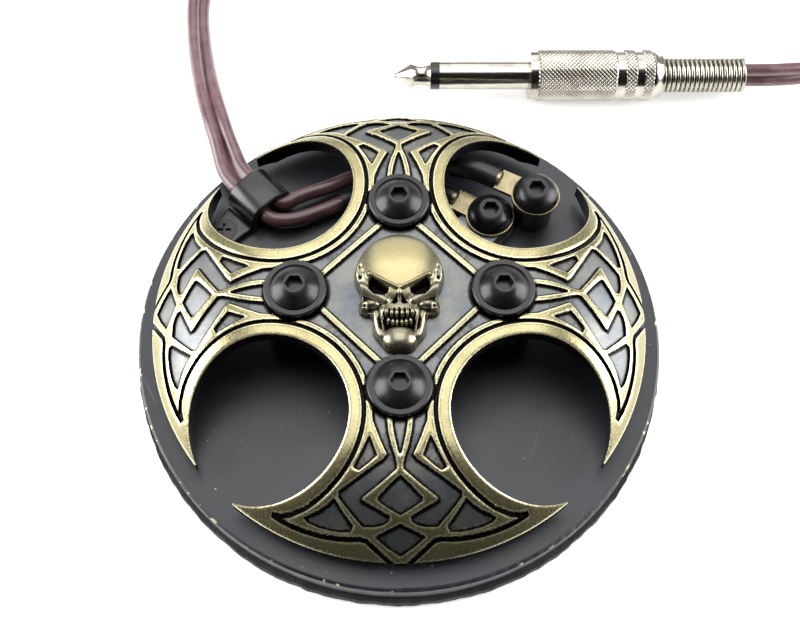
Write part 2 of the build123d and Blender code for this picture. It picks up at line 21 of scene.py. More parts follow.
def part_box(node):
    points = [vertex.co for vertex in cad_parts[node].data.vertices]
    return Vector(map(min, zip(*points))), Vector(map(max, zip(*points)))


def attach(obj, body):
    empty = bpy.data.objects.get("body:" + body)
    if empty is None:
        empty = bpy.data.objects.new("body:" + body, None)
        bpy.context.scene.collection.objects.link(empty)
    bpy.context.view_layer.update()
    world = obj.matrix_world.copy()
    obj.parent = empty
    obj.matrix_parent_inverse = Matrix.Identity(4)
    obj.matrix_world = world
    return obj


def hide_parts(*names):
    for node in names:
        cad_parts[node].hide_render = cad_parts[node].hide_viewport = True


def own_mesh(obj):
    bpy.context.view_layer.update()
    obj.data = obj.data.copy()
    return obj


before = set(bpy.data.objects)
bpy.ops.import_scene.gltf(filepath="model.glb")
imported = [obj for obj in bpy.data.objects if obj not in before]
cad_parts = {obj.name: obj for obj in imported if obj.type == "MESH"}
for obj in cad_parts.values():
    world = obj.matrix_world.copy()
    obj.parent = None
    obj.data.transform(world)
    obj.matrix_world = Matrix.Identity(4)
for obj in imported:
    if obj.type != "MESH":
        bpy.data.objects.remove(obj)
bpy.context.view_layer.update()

LOG = logging.getLogger("foot_switch")
MM = 0.001
Point = tuple[float, float]
Source = Union[bpy.types.Node, bpy.types.NodeSocket, None]


# ---------------------------------------------------------------- small shared tools
class Body(str, Enum):
    """Moving bodies of the frame."""

    BASE = "base"
    PEDAL = "pedal"


class Slot(str, Enum):
    """Names of the record's material slots, which join_up is given with each new piece."""

    MAT = "mat_rubber"
    BRASS = "antique_brass"
    NYLON = "nylon_black"
    LEAD = "cord_pvc"
    NICKEL = "plug_nickel"
    SPRING = "spring_steel"


class Kind(str, Enum):
    """Blender's names of the node types used here."""

    ATTRIBUTE = "ShaderNodeAttribute"
    BUMP = "ShaderNodeBump"
    GLOW = "ShaderNodeBackground"
    MAPPING = "ShaderNodeMapping"
    MATH = "ShaderNodeMath"
    MIX = "ShaderNodeMix"
    NOISE = "ShaderNodeTexNoise"
    OUTPUT = "ShaderNodeOutputMaterial"
    PLACE = "ShaderNodeTexCoord"
    RANGE = "ShaderNodeMapRange"
    SHADER = "ShaderNodeBsdfPrincipled"
    SPLIT = "ShaderNodeSeparateXYZ"
    VECTOR = "ShaderNodeVectorMath"
    WORLD = "ShaderNodeOutputWorld"


def linear(hex_colour: str) -> tuple[float, float, float, float]:
    """Turn an sRGB hex colour into the linear colour that shaders take.

    Args:
        hex_colour: six hex digits with a leading hash.
    Returns:
        Linear red, green, blue and an alpha of 1.
    """
    parts = [int(hex_colour[i:i + 2], 16) / 255 for i in (1, 3, 5)]
    red, green, blue = [c / 12.92 if c <= 0.04045 else ((c + 0.055) / 1.055) ** 2.4 for c in parts]
    return (red, green, blue, 1.0)


def repeat(size: float) -> float:
    """Scale of a pattern whose blots have a size in millimetres."""
    return 1 / (size * MM)


def feed(tree: bpy.types.NodeTree, node: bpy.types.Node, inputs: dict[Any, Any]) -> None:
    """Give a node's inputs their values, or link them to what feeds them.

    Args:
        tree: the node's tree.
        node: the node.
        inputs: by name or number, a value, an output socket, or a node whose first output is meant.
    """
    for name, value in inputs.items():
        if isinstance(value, bpy.types.Node):
            tree.links.new(value.outputs[0], node.inputs[name])
        elif isinstance(value, bpy.types.NodeSocket):
            tree.links.new(value, node.inputs[name])
        else:
            node.inputs[name].default_value = value


def add_node(
    tree: bpy.types.NodeTree, kind: Kind, inputs: Optional[dict[Any, Any]] = None, **settings: Any
) -> bpy.types.Node:
    """Add one node with its settings and with what its inputs get.

    Args:
        tree: node tree that gets the node.
        kind: the node's type.
        inputs: values and links of its inputs, as feed takes them.
        settings: attributes of the node.
    Returns:
        The new node.
    """
    node = tree.nodes.new(kind.value)
    for name, value in settings.items():
        setattr(node, name, value)
    feed(tree, node, inputs or {})
    return node


def mesh_piece(
    name: str,
    points: Sequence[Sequence[float]],
    faces: Sequence[Sequence[int]],
    smooth_angle: float = 35.0,
) -> bpy.types.Object:
    """Make a mesh object from points in millimetres.

    Args:
        name: the piece's name.
        points: corner points in millimetres.
        faces: corner numbers of each face, turning left seen from outside.
        smooth_angle: edges sharper than this stay sharp, in degrees.
    Returns:
        The linked object, at the origin.
    """
    mesh = bpy.data.meshes.new(name)
    mesh.from_pydata([[c * MM for c in p] for p in points], [], [list(f) for f in faces])
    mesh.update()
    piece = bpy.data.objects.new(name, mesh)
    bpy.context.scene.collection.objects.link(piece)
    pick(piece)
    bpy.ops.object.shade_smooth_by_angle(angle=math.radians(smooth_angle))
    return piece


def pick(piece: bpy.types.Object) -> None:
    """Make a piece the only selected and active one."""
    bpy.ops.object.select_all(action="DESELECT")
    piece.select_set(True)
    bpy.context.view_layer.objects.active = piece


def face_outward(piece: bpy.types.Object) -> None:
    """Turn all faces of a closed piece outward."""
    pick(piece)
    bpy.ops.object.mode_set(mode="EDIT")
    bpy.ops.mesh.select_all(action="SELECT")
    bpy.ops.mesh.normals_make_consistent(inside=False)
    bpy.ops.object.mode_set(mode="OBJECT")


def join_up(piece: bpy.types.Object, body: Body, slot: Slot, *stands_for: str) -> None:
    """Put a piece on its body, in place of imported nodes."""
    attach(piece, body.value)
    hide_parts(*stands_for)


def ring_faces(first: int, second: int, around: int) -> list[tuple[int, ...]]:
    """Faces between two rings of points, given the number of each ring's first point."""
    return [
        (first + c, first + (c + 1) % around, second + (c + 1) % around, second + c) for c in range(around)
    ]


def tube_faces(rings: int, around: int) -> list[tuple[int, ...]]:
    """Faces along a tube of rings, and the faces that close its two ends."""
    faces = [f for r in range(rings - 1) for f in ring_faces(r * around, (r + 1) * around, around)]
    last = (rings - 1) * around
    return [*faces, tuple(range(around))[::-1], tuple(range(last, last + around))]


def point_values(piece: bpy.types.Object, name: str, values: np.ndarray) -> None:
    """Store one number a corner on a piece's mesh."""
    layer = piece.data.attributes.new(name, "FLOAT", "POINT")
    layer.data.foreach_set("value", np.asarray(values, np.float32))


def dress(piece: bpy.types.Object, material: bpy.types.Material) -> None:
    """Give a piece one material all over."""
    piece.data.materials.clear()
    piece.data.materials.append(material)


def dress_nodes(names: Sequence[str], material: bpy.types.Material) -> None:
    """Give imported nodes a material, leaving their meshes alone."""
    for name in names:
        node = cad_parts[name]
        for slot in node.material_slots:
            slot.material = material
        if not node.material_slots:
            node.data.materials.append(material)


def evenly(points: Sequence[Point], step: float, closed: bool = True) -> np.ndarray:
    """Corner points of a line with more points set between them.

    Args:
        points: the line's corners.
        step: longest gap left between points.
        closed: whether the last corner joins the first.
    Returns:
        The points as an array of x and y.
    """
    corners = [np.array(p, float) for p in points]
    if closed:
        corners.append(corners[0])
    made: list[np.ndarray] = []
    for a, b in zip(corners, corners[1:]):
        count = max(1, math.ceil(float(np.linalg.norm(b - a)) / step))
        made += [a + (b - a) * k / count for k in range(count)]
    if not closed:
        made.append(corners[-1])
    return np.array(made)


def arc(centre: Point, radius: float, start: float, end: float, step: float = 0.4) -> list[Point]:
    """Points along an arc.

    Args:
        centre: the arc's centre.
        radius: its radius.
        start: first angle in degrees.
        end: last angle in degrees.
        step: longest gap between points.
    Returns:
        The points, both ends among them.
    """
    count = max(2, math.ceil(abs(math.radians(end - start)) * radius / step))
    angles = [math.radians(start + (end - start) * k / count) for k in range(count + 1)]
    return [(centre[0] + radius * math.cos(a), centre[1] + radius * math.sin(a)) for a in angles]


def stroke(points: Sequence[Point], width: float) -> list[Point]:
    """Outline of a line drawn with a width."""
    line = np.array(points, float)
    ahead = np.gradient(line, axis=0)
    ahead /= np.linalg.norm(ahead, axis=1)[:, None]
    side = np.stack([-ahead[:, 1], ahead[:, 0]], axis=1) * width / 2
    return [tuple(p) for p in line + side] + [tuple(p) for p in (line - side)[::-1]]


def inside(spots: np.ndarray, outline: np.ndarray) -> np.ndarray:
    """Which spots lie inside a closed outline."""
    x, y = spots[:, 0][:, None], spots[:, 1][:, None]
    x0, y0 = outline[:, 0][None, :], outline[:, 1][None, :]
    x1, y1 = np.roll(x0, -1, axis=1), np.roll(y0, -1, axis=1)
    rise = np.where(y1 == y0, 1e-12, y1 - y0)
    crossed = ((y0 > y) != (y1 > y)) & (x < (x1 - x0) * (y - y0) / rise + x0)
    return crossed.sum(axis=1) % 2 == 1


def gap_to(spots: np.ndarray, outline: np.ndarray, closed: bool = True) -> np.ndarray:
    """Distance from each spot to the nearest side of an outline, or of an open line."""
    nearest = np.full(len(spots), 1e9)
    ends = np.roll(outline, -1, axis=0)
    pairs = list(zip(outline, ends)) if closed else list(zip(outline[:-1], ends[:-1]))
    for a, b in pairs:
        run = b - a
        share = np.clip(((spots - a) @ run) / max(float(run @ run), 1e-12), 0, 1)
        nearest = np.minimum(nearest, np.linalg.norm(spots - (a + share[:, None] * run), axis=1))
    return nearest


def lattice(across: Point, along: Point, step: float) -> np.ndarray:
    """Points of a square grid between two reaches."""
    return np.stack(np.meshgrid(np.arange(*across, step), np.arange(*along, step)), -1).reshape(-1, 2)


def ease(value: np.ndarray, low: float, high: float) -> np.ndarray:
    """Smooth step from 0 at low to 1 at high."""
    t = np.clip((value - low) / (high - low), 0, 1)
    return t * t * (3 - 2 * t)


# ---------------------------------------------------------------- finishes
@dataclass(frozen=True)
class Coat:
    """A colour laid over what is below it, as far as a value rises through its reach.

    The colour is sRGB hex, or comes from another node.
    """

    value: Source
    reach: Point
    colour: Any
    share: Point = (0.0, 1.0)
    soft: bool = False


@dataclass(frozen=True)
class Finish:
    """A material that starts from one shader and the piece's own coordinates."""

    name: str

    def begin(self) -> tuple[bpy.types.Material, bpy.types.NodeTree, bpy.types.Node, bpy.types.NodeSocket]:
        """Make the empty material.

        Returns:
            The material, its node tree, its shader and the Object coordinates.
        """
        material = bpy.data.materials.new(self.name)
        material.use_nodes = True
        tree = material.node_tree
        tree.nodes.clear()
        shader = add_node(tree, Kind.SHADER)
        add_node(tree, Kind.OUTPUT, {"Surface": shader})
        return material, tree, shader, add_node(tree, Kind.PLACE).outputs["Object"]

    def coated(self, tree: bpy.types.NodeTree, ground: Any, coats: Sequence[Coat]) -> bpy.types.NodeSocket:
        """Lay coats over a ground colour.

        Args:
            tree: the material's tree.
            ground: the lowest colour, as sRGB hex or from another node.
            coats: what lies over it, from the lowest up.
        Returns:
            The colour of all of them together.
        """
        colour = linear(ground) if isinstance(ground, str) else ground
        for coat in coats:
            share = add_node(
                tree, Kind.RANGE,
                {0: coat.value, 1: coat.reach[0], 2: coat.reach[1], 3: coat.share[0], 4: coat.share[1]},
                interpolation_type="SMOOTHSTEP" if coat.soft else "LINEAR",
            )
            over = linear(coat.colour) if isinstance(coat.colour, str) else coat.colour
            colour = add_node(tree, Kind.MIX, {0: share, 6: colour, 7: over}, data_type="RGBA").outputs[2]
        return colour


@dataclass(frozen=True)
class AntiqueBrass(Finish):
    """Cast brass, toned black and then rubbed by hand."""

    # Rubbing leaves the raised lines olive with pale edges, and the toning stays black beside them,
    # so the knotwork reads from far off. Casting grain makes every border a little uneven.
    band: str = "#958e6a"
    shaded: str = "#7b7452"
    rubbed: str = "#b5ad89"
    worn: str = "#dfd8b4"
    low: str = "#74746f"
    bluish: str = "#5b5f66"
    toned: str = "#0b0a09"

    def build(self) -> bpy.types.Material:
        """Make the material, which reads the distance from a band's edge."""
        material, tree, shader, place = self.begin()
        edge = add_node(tree, Kind.ATTRIBUTE, attribute_name="to_edge").outputs["Fac"]
        wall = add_node(tree, Kind.ATTRIBUTE, attribute_name="wall").outputs["Fac"]
        blot = add_node(
            tree, Kind.NOISE, {"Vector": place, "Scale": repeat(6.0), "Detail": 4.0, "Roughness": 0.6}
        )
        fine = add_node(
            tree, Kind.NOISE, {"Vector": place, "Scale": repeat(0.5), "Detail": 3.0, "Roughness": 0.6}
        )
        drawn = add_node(tree, Kind.MAPPING, {"Vector": place, "Scale": (1.0, 0.18, 1.0)})
        strokes = add_node(
            tree, Kind.NOISE, {"Vector": drawn, "Scale": repeat(0.35), "Detail": 2.0, "Roughness": 0.6}
        )
        wander = add_node(tree, Kind.RANGE, {0: fine, 1: 0.3, 2: 0.7, 3: -0.09, 4: 0.09})
        ragged = add_node(tree, Kind.MATH, {0: edge, 1: wander}, operation="ADD")
        band = self.coated(tree, self.band, [
            Coat(blot, (0.4, 0.75), self.shaded, (0.0, 0.6)),
            Coat(strokes, (0.52, 0.8), self.rubbed, (0.0, 0.45)),
            Coat(ragged, (-0.36, -0.04), self.worn, (0.0, 0.95), True),
        ])
        low = self.coated(tree, self.low, [Coat(blot, (0.35, 0.7), self.bluish)])
        low = self.coated(tree, self.toned, [Coat(ragged, (0.36, 0.8), low, soft=True)])
        colour = self.coated(tree, band, [
            Coat(ragged, (0.0, 0.08), low), Coat(wall, (0.03, 0.2), self.toned),
        ])
        sheen = add_node(tree, Kind.RANGE, {0: ragged, 1: 0.0, 2: 0.1, 3: 0.27, 4: 0.42})
        grain = add_node(tree, Kind.RANGE, {0: fine, 1: 0.3, 2: 0.7, 3: -0.05, 4: 0.07})
        height = add_node(tree, Kind.MATH, {0: fine, 1: strokes}, operation="ADD")
        feed(tree, shader, {
            "Base Color": colour,
            "Metallic": 0.9,
            "Roughness": add_node(tree, Kind.MATH, {0: sheen, 1: grain}, operation="ADD"),
            "Normal": add_node(tree, Kind.BUMP, {"Height": height, "Strength": 1.0, "Distance": 0.02 * MM}),
        })
        return material


@dataclass(frozen=True)
class CarvedBrass(Finish):
    """Cast brass polished on its high places, with toning left in the hollows."""

    # The brow and cranium are painted toward gold as a painted highlight and the sides stay greyer as
    # painted shade, and the black in sockets and between teeth gives the small boss its depth.
    # The first two colours are the sides' grey, as painted shade, and the crown's gold, as painted
    # highlight.
    plain: str = "#7a776e"
    painted_crown_highlight: str = "#958c68"
    dull: str = "#85805c"
    toned: str = "#12110f"
    bright: str = "#d8cc9a"

    def build(self) -> bpy.types.Material:
        """Make the material, which reads the hollows and the painted crown highlight."""
        material, tree, shader, place = self.begin()
        hollow = add_node(tree, Kind.ATTRIBUTE, attribute_name="hollow").outputs["Fac"]
        painted_crown_highlight = add_node(tree, Kind.ATTRIBUTE, attribute_name="painted_crown_highlight").outputs["Fac"]
        fine = add_node(
            tree, Kind.NOISE, {"Vector": place, "Scale": repeat(0.6), "Detail": 3.0, "Roughness": 0.6}
        )
        blot = add_node(
            tree, Kind.NOISE, {"Vector": place, "Scale": repeat(4.0), "Detail": 3.0, "Roughness": 0.6}
        )
        wander = add_node(tree, Kind.RANGE, {0: fine, 1: 0.3, 2: 0.7, 3: -0.05, 4: 0.05})
        ragged = add_node(tree, Kind.MATH, {0: hollow, 1: wander}, operation="ADD")
        colour = self.coated(tree, self.plain, [
            # Painted highlight: toward the crown the colour turns gold, and the sides stay grey as painted
            # shade.
            Coat(painted_crown_highlight, (0.0, 1.0), self.painted_crown_highlight),
            Coat(blot, (0.45, 0.75), self.dull, (0.0, 0.35)),
            Coat(ragged, (0.04, 0.3), self.toned, soft=True),
            Coat(ragged, (-0.25, -0.05), self.bright, (0.45, 0.0), True),
        ])
        feed(tree, shader, {
            "Base Color": colour,
            "Metallic": 0.92,
            "Roughness": add_node(tree, Kind.RANGE, {0: ragged, 1: 0.0, 2: 0.4, 3: 0.27, 4: 0.6}),
            "Normal": add_node(tree, Kind.BUMP, {"Height": fine, "Strength": 1.0, "Distance": 0.012 * MM}),
        })
        return material


@dataclass(frozen=True)
class SatinBlack(Finish):
    """Black skin with faint mottling: oxide on steel, moulded nylon, fibre sheet or shrink sleeve."""

    # The soft highlight shows the form, and the mottling keeps the black from looking like a hole.
    colour: str = "#1b1b1d"
    worn: str = "#3a3a3c"
    roughness: float = 0.36
    metallic: float = 0.0
    grain: float = 0.5
    depth: float = 0.01

    def build(self) -> bpy.types.Material:
        """Make the material."""
        material, tree, shader, place = self.begin()
        fine = add_node(
            tree, Kind.NOISE, {"Vector": place, "Scale": repeat(self.grain), "Detail": 3.0, "Roughness": 0.6}
        )
        blot = add_node(tree, Kind.NOISE, {
            "Vector": place, "Scale": repeat(self.grain * 9), "Detail": 4.0, "Roughness": 0.6
        })
        glossy, dull = self.roughness - 0.05, self.roughness + 0.08
        feed(tree, shader, {
            "Base Color": self.coated(tree, self.colour, [Coat(blot, (0.45, 0.75), self.worn, (0.0, 0.7))]),
            "Metallic": self.metallic,
            "Roughness": add_node(tree, Kind.RANGE, {0: blot, 1: 0.3, 2: 0.7, 3: glossy, 4: dull}),
            "Normal": add_node(
                tree, Kind.BUMP, {"Height": fine, "Strength": 1.0, "Distance": self.depth * MM}
            ),
        })
        return material


@dataclass(frozen=True)
class ScuffedPaint(Finish):
    """Satin black paint sprayed on steel, after years underfoot."""

    # Hairline scratches catch the light, dust makes specks, and bare metal shows in chips along the
    # top edge, where shoes knock it.
    rim: float = 52.5
    top: float = 9.0
    paint: str = "#15171b"
    faded: str = "#23262c"
    scratch: str = "#6c6d70"
    dust: str = "#9c9a92"
    bare: str = "#b9ad86"
    scratch_width: float = 0.38
    scratches: tuple[Point, ...] = ((35.0, 26.0), (118.0, 18.0), (70.0, 34.0))

    def build(self) -> bpy.types.Material:
        """Make the material."""
        material, tree, shader, place = self.begin()
        blot = add_node(
            tree, Kind.NOISE, {"Vector": place, "Scale": repeat(14.0), "Detail": 4.0, "Roughness": 0.6}
        )
        fine = add_node(
            tree, Kind.NOISE, {"Vector": place, "Scale": repeat(0.4), "Detail": 3.0, "Roughness": 0.6}
        )
        speck = add_node(
            tree, Kind.NOISE, {"Vector": place, "Scale": repeat(1.1), "Detail": 2.0, "Roughness": 0.6}
        )
        lines = self.hairlines(tree, place)
        chips = self.chips(tree, place)
        colour = self.coated(tree, self.paint, [
            Coat(blot, (0.35, 0.7), self.faded),
            Coat(lines, (0.0, 1.0), self.scratch, (0.0, 0.28)),
            Coat(speck, (0.745, 0.765), self.dust, (0.0, 0.8)),
            Coat(chips, (0.0, 1.0), self.bare),
        ])
        satin = add_node(tree, Kind.RANGE, {0: blot, 1: 0.3, 2: 0.7, 3: 0.34, 4: 0.46})
        cuts = add_node(tree, Kind.MATH, {0: lines, 1: chips}, operation="ADD")
        height = add_node(tree, Kind.MATH, {0: fine, 1: cuts}, operation="SUBTRACT")
        feed(tree, shader, {
            "Base Color": colour,
            "Metallic": 0.0,
            "Roughness": add_node(tree, Kind.MATH, {0: lines, 1: -0.1, 2: satin}, operation="MULTIPLY_ADD"),
            "Normal": add_node(tree, Kind.BUMP, {"Height": height, "Strength": 1.0, "Distance": 0.012 * MM}),
        })
        return material

    def hairlines(self, tree: bpy.types.NodeTree, place: bpy.types.NodeSocket) -> Source:
        """Long thin scratches that run three ways.

        Args:
            tree: the material's tree.
            place: coordinates in metres.
        Returns:
            1 on a scratch and 0 beside it.
        """
        lines: Source = None
        for turn, length in self.scratches:
            turned = add_node(tree, Kind.MAPPING, {
                "Vector": place, "Rotation": (0.0, 0.0, math.radians(turn)),
                "Scale": (length * MM, self.scratch_width * MM, 1.0),
            }, vector_type="TEXTURE")
            hair = add_node(tree, Kind.NOISE, {"Vector": turned, "Scale": 1.0, "Detail": 1.0})
            line = add_node(tree, Kind.RANGE, {0: hair, 1: 0.75, 2: 0.79, 3: 0.0, 4: 1.0})
            if lines is None:
                lines = line
            else:
                lines = add_node(tree, Kind.MATH, {0: lines, 1: line}, operation="MAXIMUM")
        return lines

    def chips(self, tree: bpy.types.NodeTree, place: bpy.types.NodeSocket) -> Source:
        """Chips that gather along the top edge.

        Args:
            tree: the material's tree.
            place: coordinates in metres.
        Returns:
            1 in a chip and 0 on the paint.
        """
        flat = add_node(tree, Kind.MAPPING, {"Vector": place, "Scale": (1.0, 1.0, 0.0)})
        out = add_node(tree, Kind.VECTOR, {0: flat}, operation="LENGTH").outputs["Value"]
        near_rim = add_node(
            tree, Kind.RANGE, {0: out, 1: (self.rim - 1.3) * MM, 2: (self.rim - 0.25) * MM, 3: 0.0, 4: 0.19}
        )
        up = add_node(tree, Kind.SPLIT, {0: place}).outputs["Z"]
        near_top = add_node(
            tree, Kind.RANGE, {0: up, 1: (self.top - 1.5) * MM, 2: (self.top - 0.5) * MM, 3: 0.1, 4: 1.0}
        )
        flake = add_node(
            tree, Kind.NOISE, {"Vector": place, "Scale": repeat(2.2), "Detail": 4.0, "Roughness": 0.6}
        )
        likely = add_node(tree, Kind.MATH, {0: near_rim, 1: near_top, 2: flake}, operation="MULTIPLY_ADD")
        return add_node(tree, Kind.RANGE, {0: likely, 1: 0.775, 2: 0.8, 3: 0.0, 4: 1.0})


@dataclass(frozen=True)
class CutRubber(Finish):
    """Black sheet rubber, cut round by hand."""

    # It is matt and grainy, and pale crumbs on the cut edge set it off from the paint above.
    rubber: str = "#151516"
    dusty: str = "#29292a"
    crumb: str = "#6d6c66"

    def build(self) -> bpy.types.Material:
        """Make the material."""
        material, tree, shader, place = self.begin()
        fine = add_node(
            tree, Kind.NOISE, {"Vector": place, "Scale": repeat(0.7), "Detail": 4.0, "Roughness": 0.6}
        )
        blot = add_node(
            tree, Kind.NOISE, {"Vector": place, "Scale": repeat(5.0), "Detail": 3.0, "Roughness": 0.6}
        )
        colour = self.coated(tree, self.rubber, [
            Coat(blot, (0.4, 0.7), self.dusty), Coat(fine, (0.68, 0.72), self.crumb, (0.0, 0.8)),
        ])
        feed(tree, shader, {
            "Base Color": colour,
            "Roughness": add_node(tree, Kind.RANGE, {0: fine, 1: 0.3, 2: 0.7, 3: 0.6, 4: 0.85}),
            "Normal": add_node(tree, Kind.BUMP, {"Height": fine, "Strength": 1.0, "Distance": 0.12 * MM}),
        })
        return material


@dataclass(frozen=True)
class BrightMetal(Finish):
    """Bare or plated metal with fine turning or drawing lines."""

    # The lines stretch the highlights along the work, and stains break them up. Real turning lines
    # are finer, and these are drawn as coarse as they need to be to show.
    colour: str = "#c9c5bb"
    stained: str = "#8b877d"
    roughness: float = 0.2
    stretch: tuple[float, float, float] = (1.0, 1.0, 1.0)
    grain: float = 0.3

    def build(self) -> bpy.types.Material:
        """Make the material."""
        material, tree, shader, place = self.begin()
        drawn = add_node(tree, Kind.MAPPING, {"Vector": place, "Scale": self.stretch})
        lines = add_node(
            tree, Kind.NOISE, {"Vector": drawn, "Scale": repeat(self.grain), "Detail": 3.0, "Roughness": 0.6}
        )
        blot = add_node(
            tree, Kind.NOISE, {"Vector": place, "Scale": repeat(4.0), "Detail": 4.0, "Roughness": 0.6}
        )
        bright, dull = self.roughness * 0.75, self.roughness * 1.4
        stain = Coat(blot, (0.45, 0.8), self.stained, (0.0, 0.8))
        feed(tree, shader, {
            "Base Color": self.coated(tree, self.colour, [stain]),
            "Metallic": 1.0,
            "Roughness": add_node(tree, Kind.RANGE, {0: lines, 1: 0.3, 2: 0.7, 3: bright, 4: dull}),
            "Normal": add_node(tree, Kind.BUMP, {"Height": lines, "Strength": 1.0, "Distance": 0.006 * MM}),
        })
        return material


@dataclass(frozen=True)
class LeadSkin(Finish):
    """Soft PVC, extruded over two cores."""

    # It is a little clear, so the brown with a violet cast glows at the edges, and handling has left
    # dusty, duller stretches between shiny ones.
    colour: str = "#54363b"
    dusty: str = "#7f6264"

    def build(self) -> bpy.types.Material:
        """Make the material."""
        material, tree, shader, place = self.begin()
        blot = add_node(
            tree, Kind.NOISE, {"Vector": place, "Scale": repeat(3.0), "Detail": 4.0, "Roughness": 0.6}
        )
        fine = add_node(
            tree, Kind.NOISE, {"Vector": place, "Scale": repeat(0.4), "Detail": 3.0, "Roughness": 0.6}
        )
        feed(tree, shader, {
            "Base Color": self.coated(tree, self.colour, [Coat(blot, (0.4, 0.75), self.dusty, (0.0, 0.55))]),
            "Subsurface Weight": 0.12,
            "Subsurface Scale": 0.8 * MM,
            "Coat Weight": 0.35,
            "Coat Roughness": 0.2,
            "Roughness": add_node(tree, Kind.RANGE, {0: blot, 1: 0.3, 2: 0.7, 3: 0.3, 4: 0.45}),
            "Normal": add_node(tree, Kind.BUMP, {"Height": fine, "Strength": 1.0, "Distance": 0.02 * MM}),
        })
        return material


@dataclass(frozen=True)
class StudioPaper(Finish):
    """Matt white paper, lit through a little from below so that it stays white."""

    def build(self) -> bpy.types.Material:
        """Make the material."""
        material, tree, shader, place = self.begin()
        pulp = add_node(
            tree, Kind.NOISE, {"Vector": place, "Scale": repeat(1.5), "Detail": 3.0, "Roughness": 0.6}
        )
        feed(tree, shader, {
            "Base Color": self.coated(tree, "#f7f7f6", [Coat(pulp, (0.3, 0.7), "#f4f4f3")]),
            "Roughness": 0.75,
            "Emission Color": (1.0, 1.0, 1.0, 1.0),
            "Emission Strength": 0.42,
        })
        return material


# ---------------------------------------------------------------- studio
@dataclass
class Studio:
    """Camera, pale floor and soft lights."""

    eye: tuple[float, float, float] = (-0.83, -87.19, 191.49)
    turn: tuple[float, float, float] = (0.4534, -0.0033, -0.0047)
    lens: float = 45.0
    floor_half: float = 1500.0

    def build(self) -> None:
        """Set up the camera, the floor, the lights and the surrounding light."""
        self.camera()
        self.floor()
        self.dark_card()
        self.softbox("light_back", (0, 620, 520), 700, 2.6)
        self.softbox("light_left", (-560, 60, 260), 460, 6.4)
        self.softbox("light_right", (560, 60, 260), 460, 5.6)
        self.softbox("light_top", (0, 160, 700), 500, 2.6)
        self.surround()
        bpy.context.scene.view_settings.view_transform = "Standard"
        LOG.info("studio ready")

    def camera(self) -> None:
        """Place the camera."""
        data = bpy.data.cameras.new("camera")
        data.lens = self.lens
        data.sensor_width = 36.0
        data.clip_start = 0.005
        camera = bpy.data.objects.new("camera", data)
        camera.location = [c * MM for c in self.eye]
        camera.rotation_euler = self.turn
        bpy.context.scene.collection.objects.link(camera)
        bpy.context.scene.camera = camera

    def floor(self) -> None:
        """Lay the pale sheet on the ground plane."""
        half = self.floor_half * MM
        bpy.ops.object.select_all(action="DESELECT")
        bpy.ops.mesh.primitive_plane_add(size=2 * half, location=(0, 0, -0.00005))
        sheet = bpy.context.object
        sheet.name = "paper_floor"
        bpy.ops.object.transform_apply(location=True)
        dress(sheet, StudioPaper("matt_paper").build())

    def dark_card(self) -> None:
        """Lay a black card in front, which only reflections see, as where the user stands in the dark."""
        bpy.ops.object.select_all(action="DESELECT")
        bpy.ops.mesh.primitive_plane_add(size=1.0, location=(0, -0.5 - 0.058, 0.0004))
        card = bpy.context.object
        card.name = "dark_card"
        bpy.ops.object.transform_apply(location=True)
        material, tree, shader, _ = Finish("black_card").begin()
        feed(tree, shader, {"Base Color": linear("#050505"), "Roughness": 1.0, "Specular IOR Level": 0.0})
        dress(card, material)
        card.visible_camera = False
        card.visible_diffuse = False
        card.visible_shadow = False
        card.visible_transmission = False

    def softbox(self, name: str, spot: tuple[float, float, float], side: float, power: float) -> None:
        """Add a square light that faces the object.

        Args:
            name: the light's name.
            spot: its place in millimetres.
            side: its side in millimetres.
            power: its power in watts.
        """
        data = bpy.data.lights.new(name, "AREA")
        data.shape = "SQUARE"
        data.size = side * MM
        data.energy = power
        light = bpy.data.objects.new(name, data)
        light.location = [c * MM for c in spot]
        light.rotation_euler = (-Vector(spot)).to_track_quat("-Z", "Y").to_euler()
        bpy.context.scene.collection.objects.link(light)

    def surround(self) -> None:
        """Light the surroundings: pale behind and at the sides, dark in front where the user stands."""
        world = bpy.data.worlds.new("surround")
        bpy.context.scene.world = world
        world.use_nodes = True
        tree = world.node_tree
        tree.nodes.clear()
        way = add_node(tree, Kind.PLACE).outputs["Generated"]
        split = add_node(tree, Kind.SPLIT, {"Vector": way})
        side = add_node(tree, Kind.MATH, {0: split.outputs["X"]}, operation="ABSOLUTE")
        reach = add_node(
            tree, Kind.MATH, {0: side, 1: 0.9, 2: split.outputs["Y"]}, operation="MULTIPLY_ADD"
        )
        share = add_node(
            tree, Kind.RANGE, {0: reach, 1: -0.35, 2: 0.75, 3: 0.02, 4: 0.5},
            interpolation_type="SMOOTHSTEP",
        )
        glow = add_node(tree, Kind.GLOW, {"Color": (1.0, 1.0, 1.0, 1.0), "Strength": share})
        add_node(tree, Kind.WORLD, {"Surface": glow})


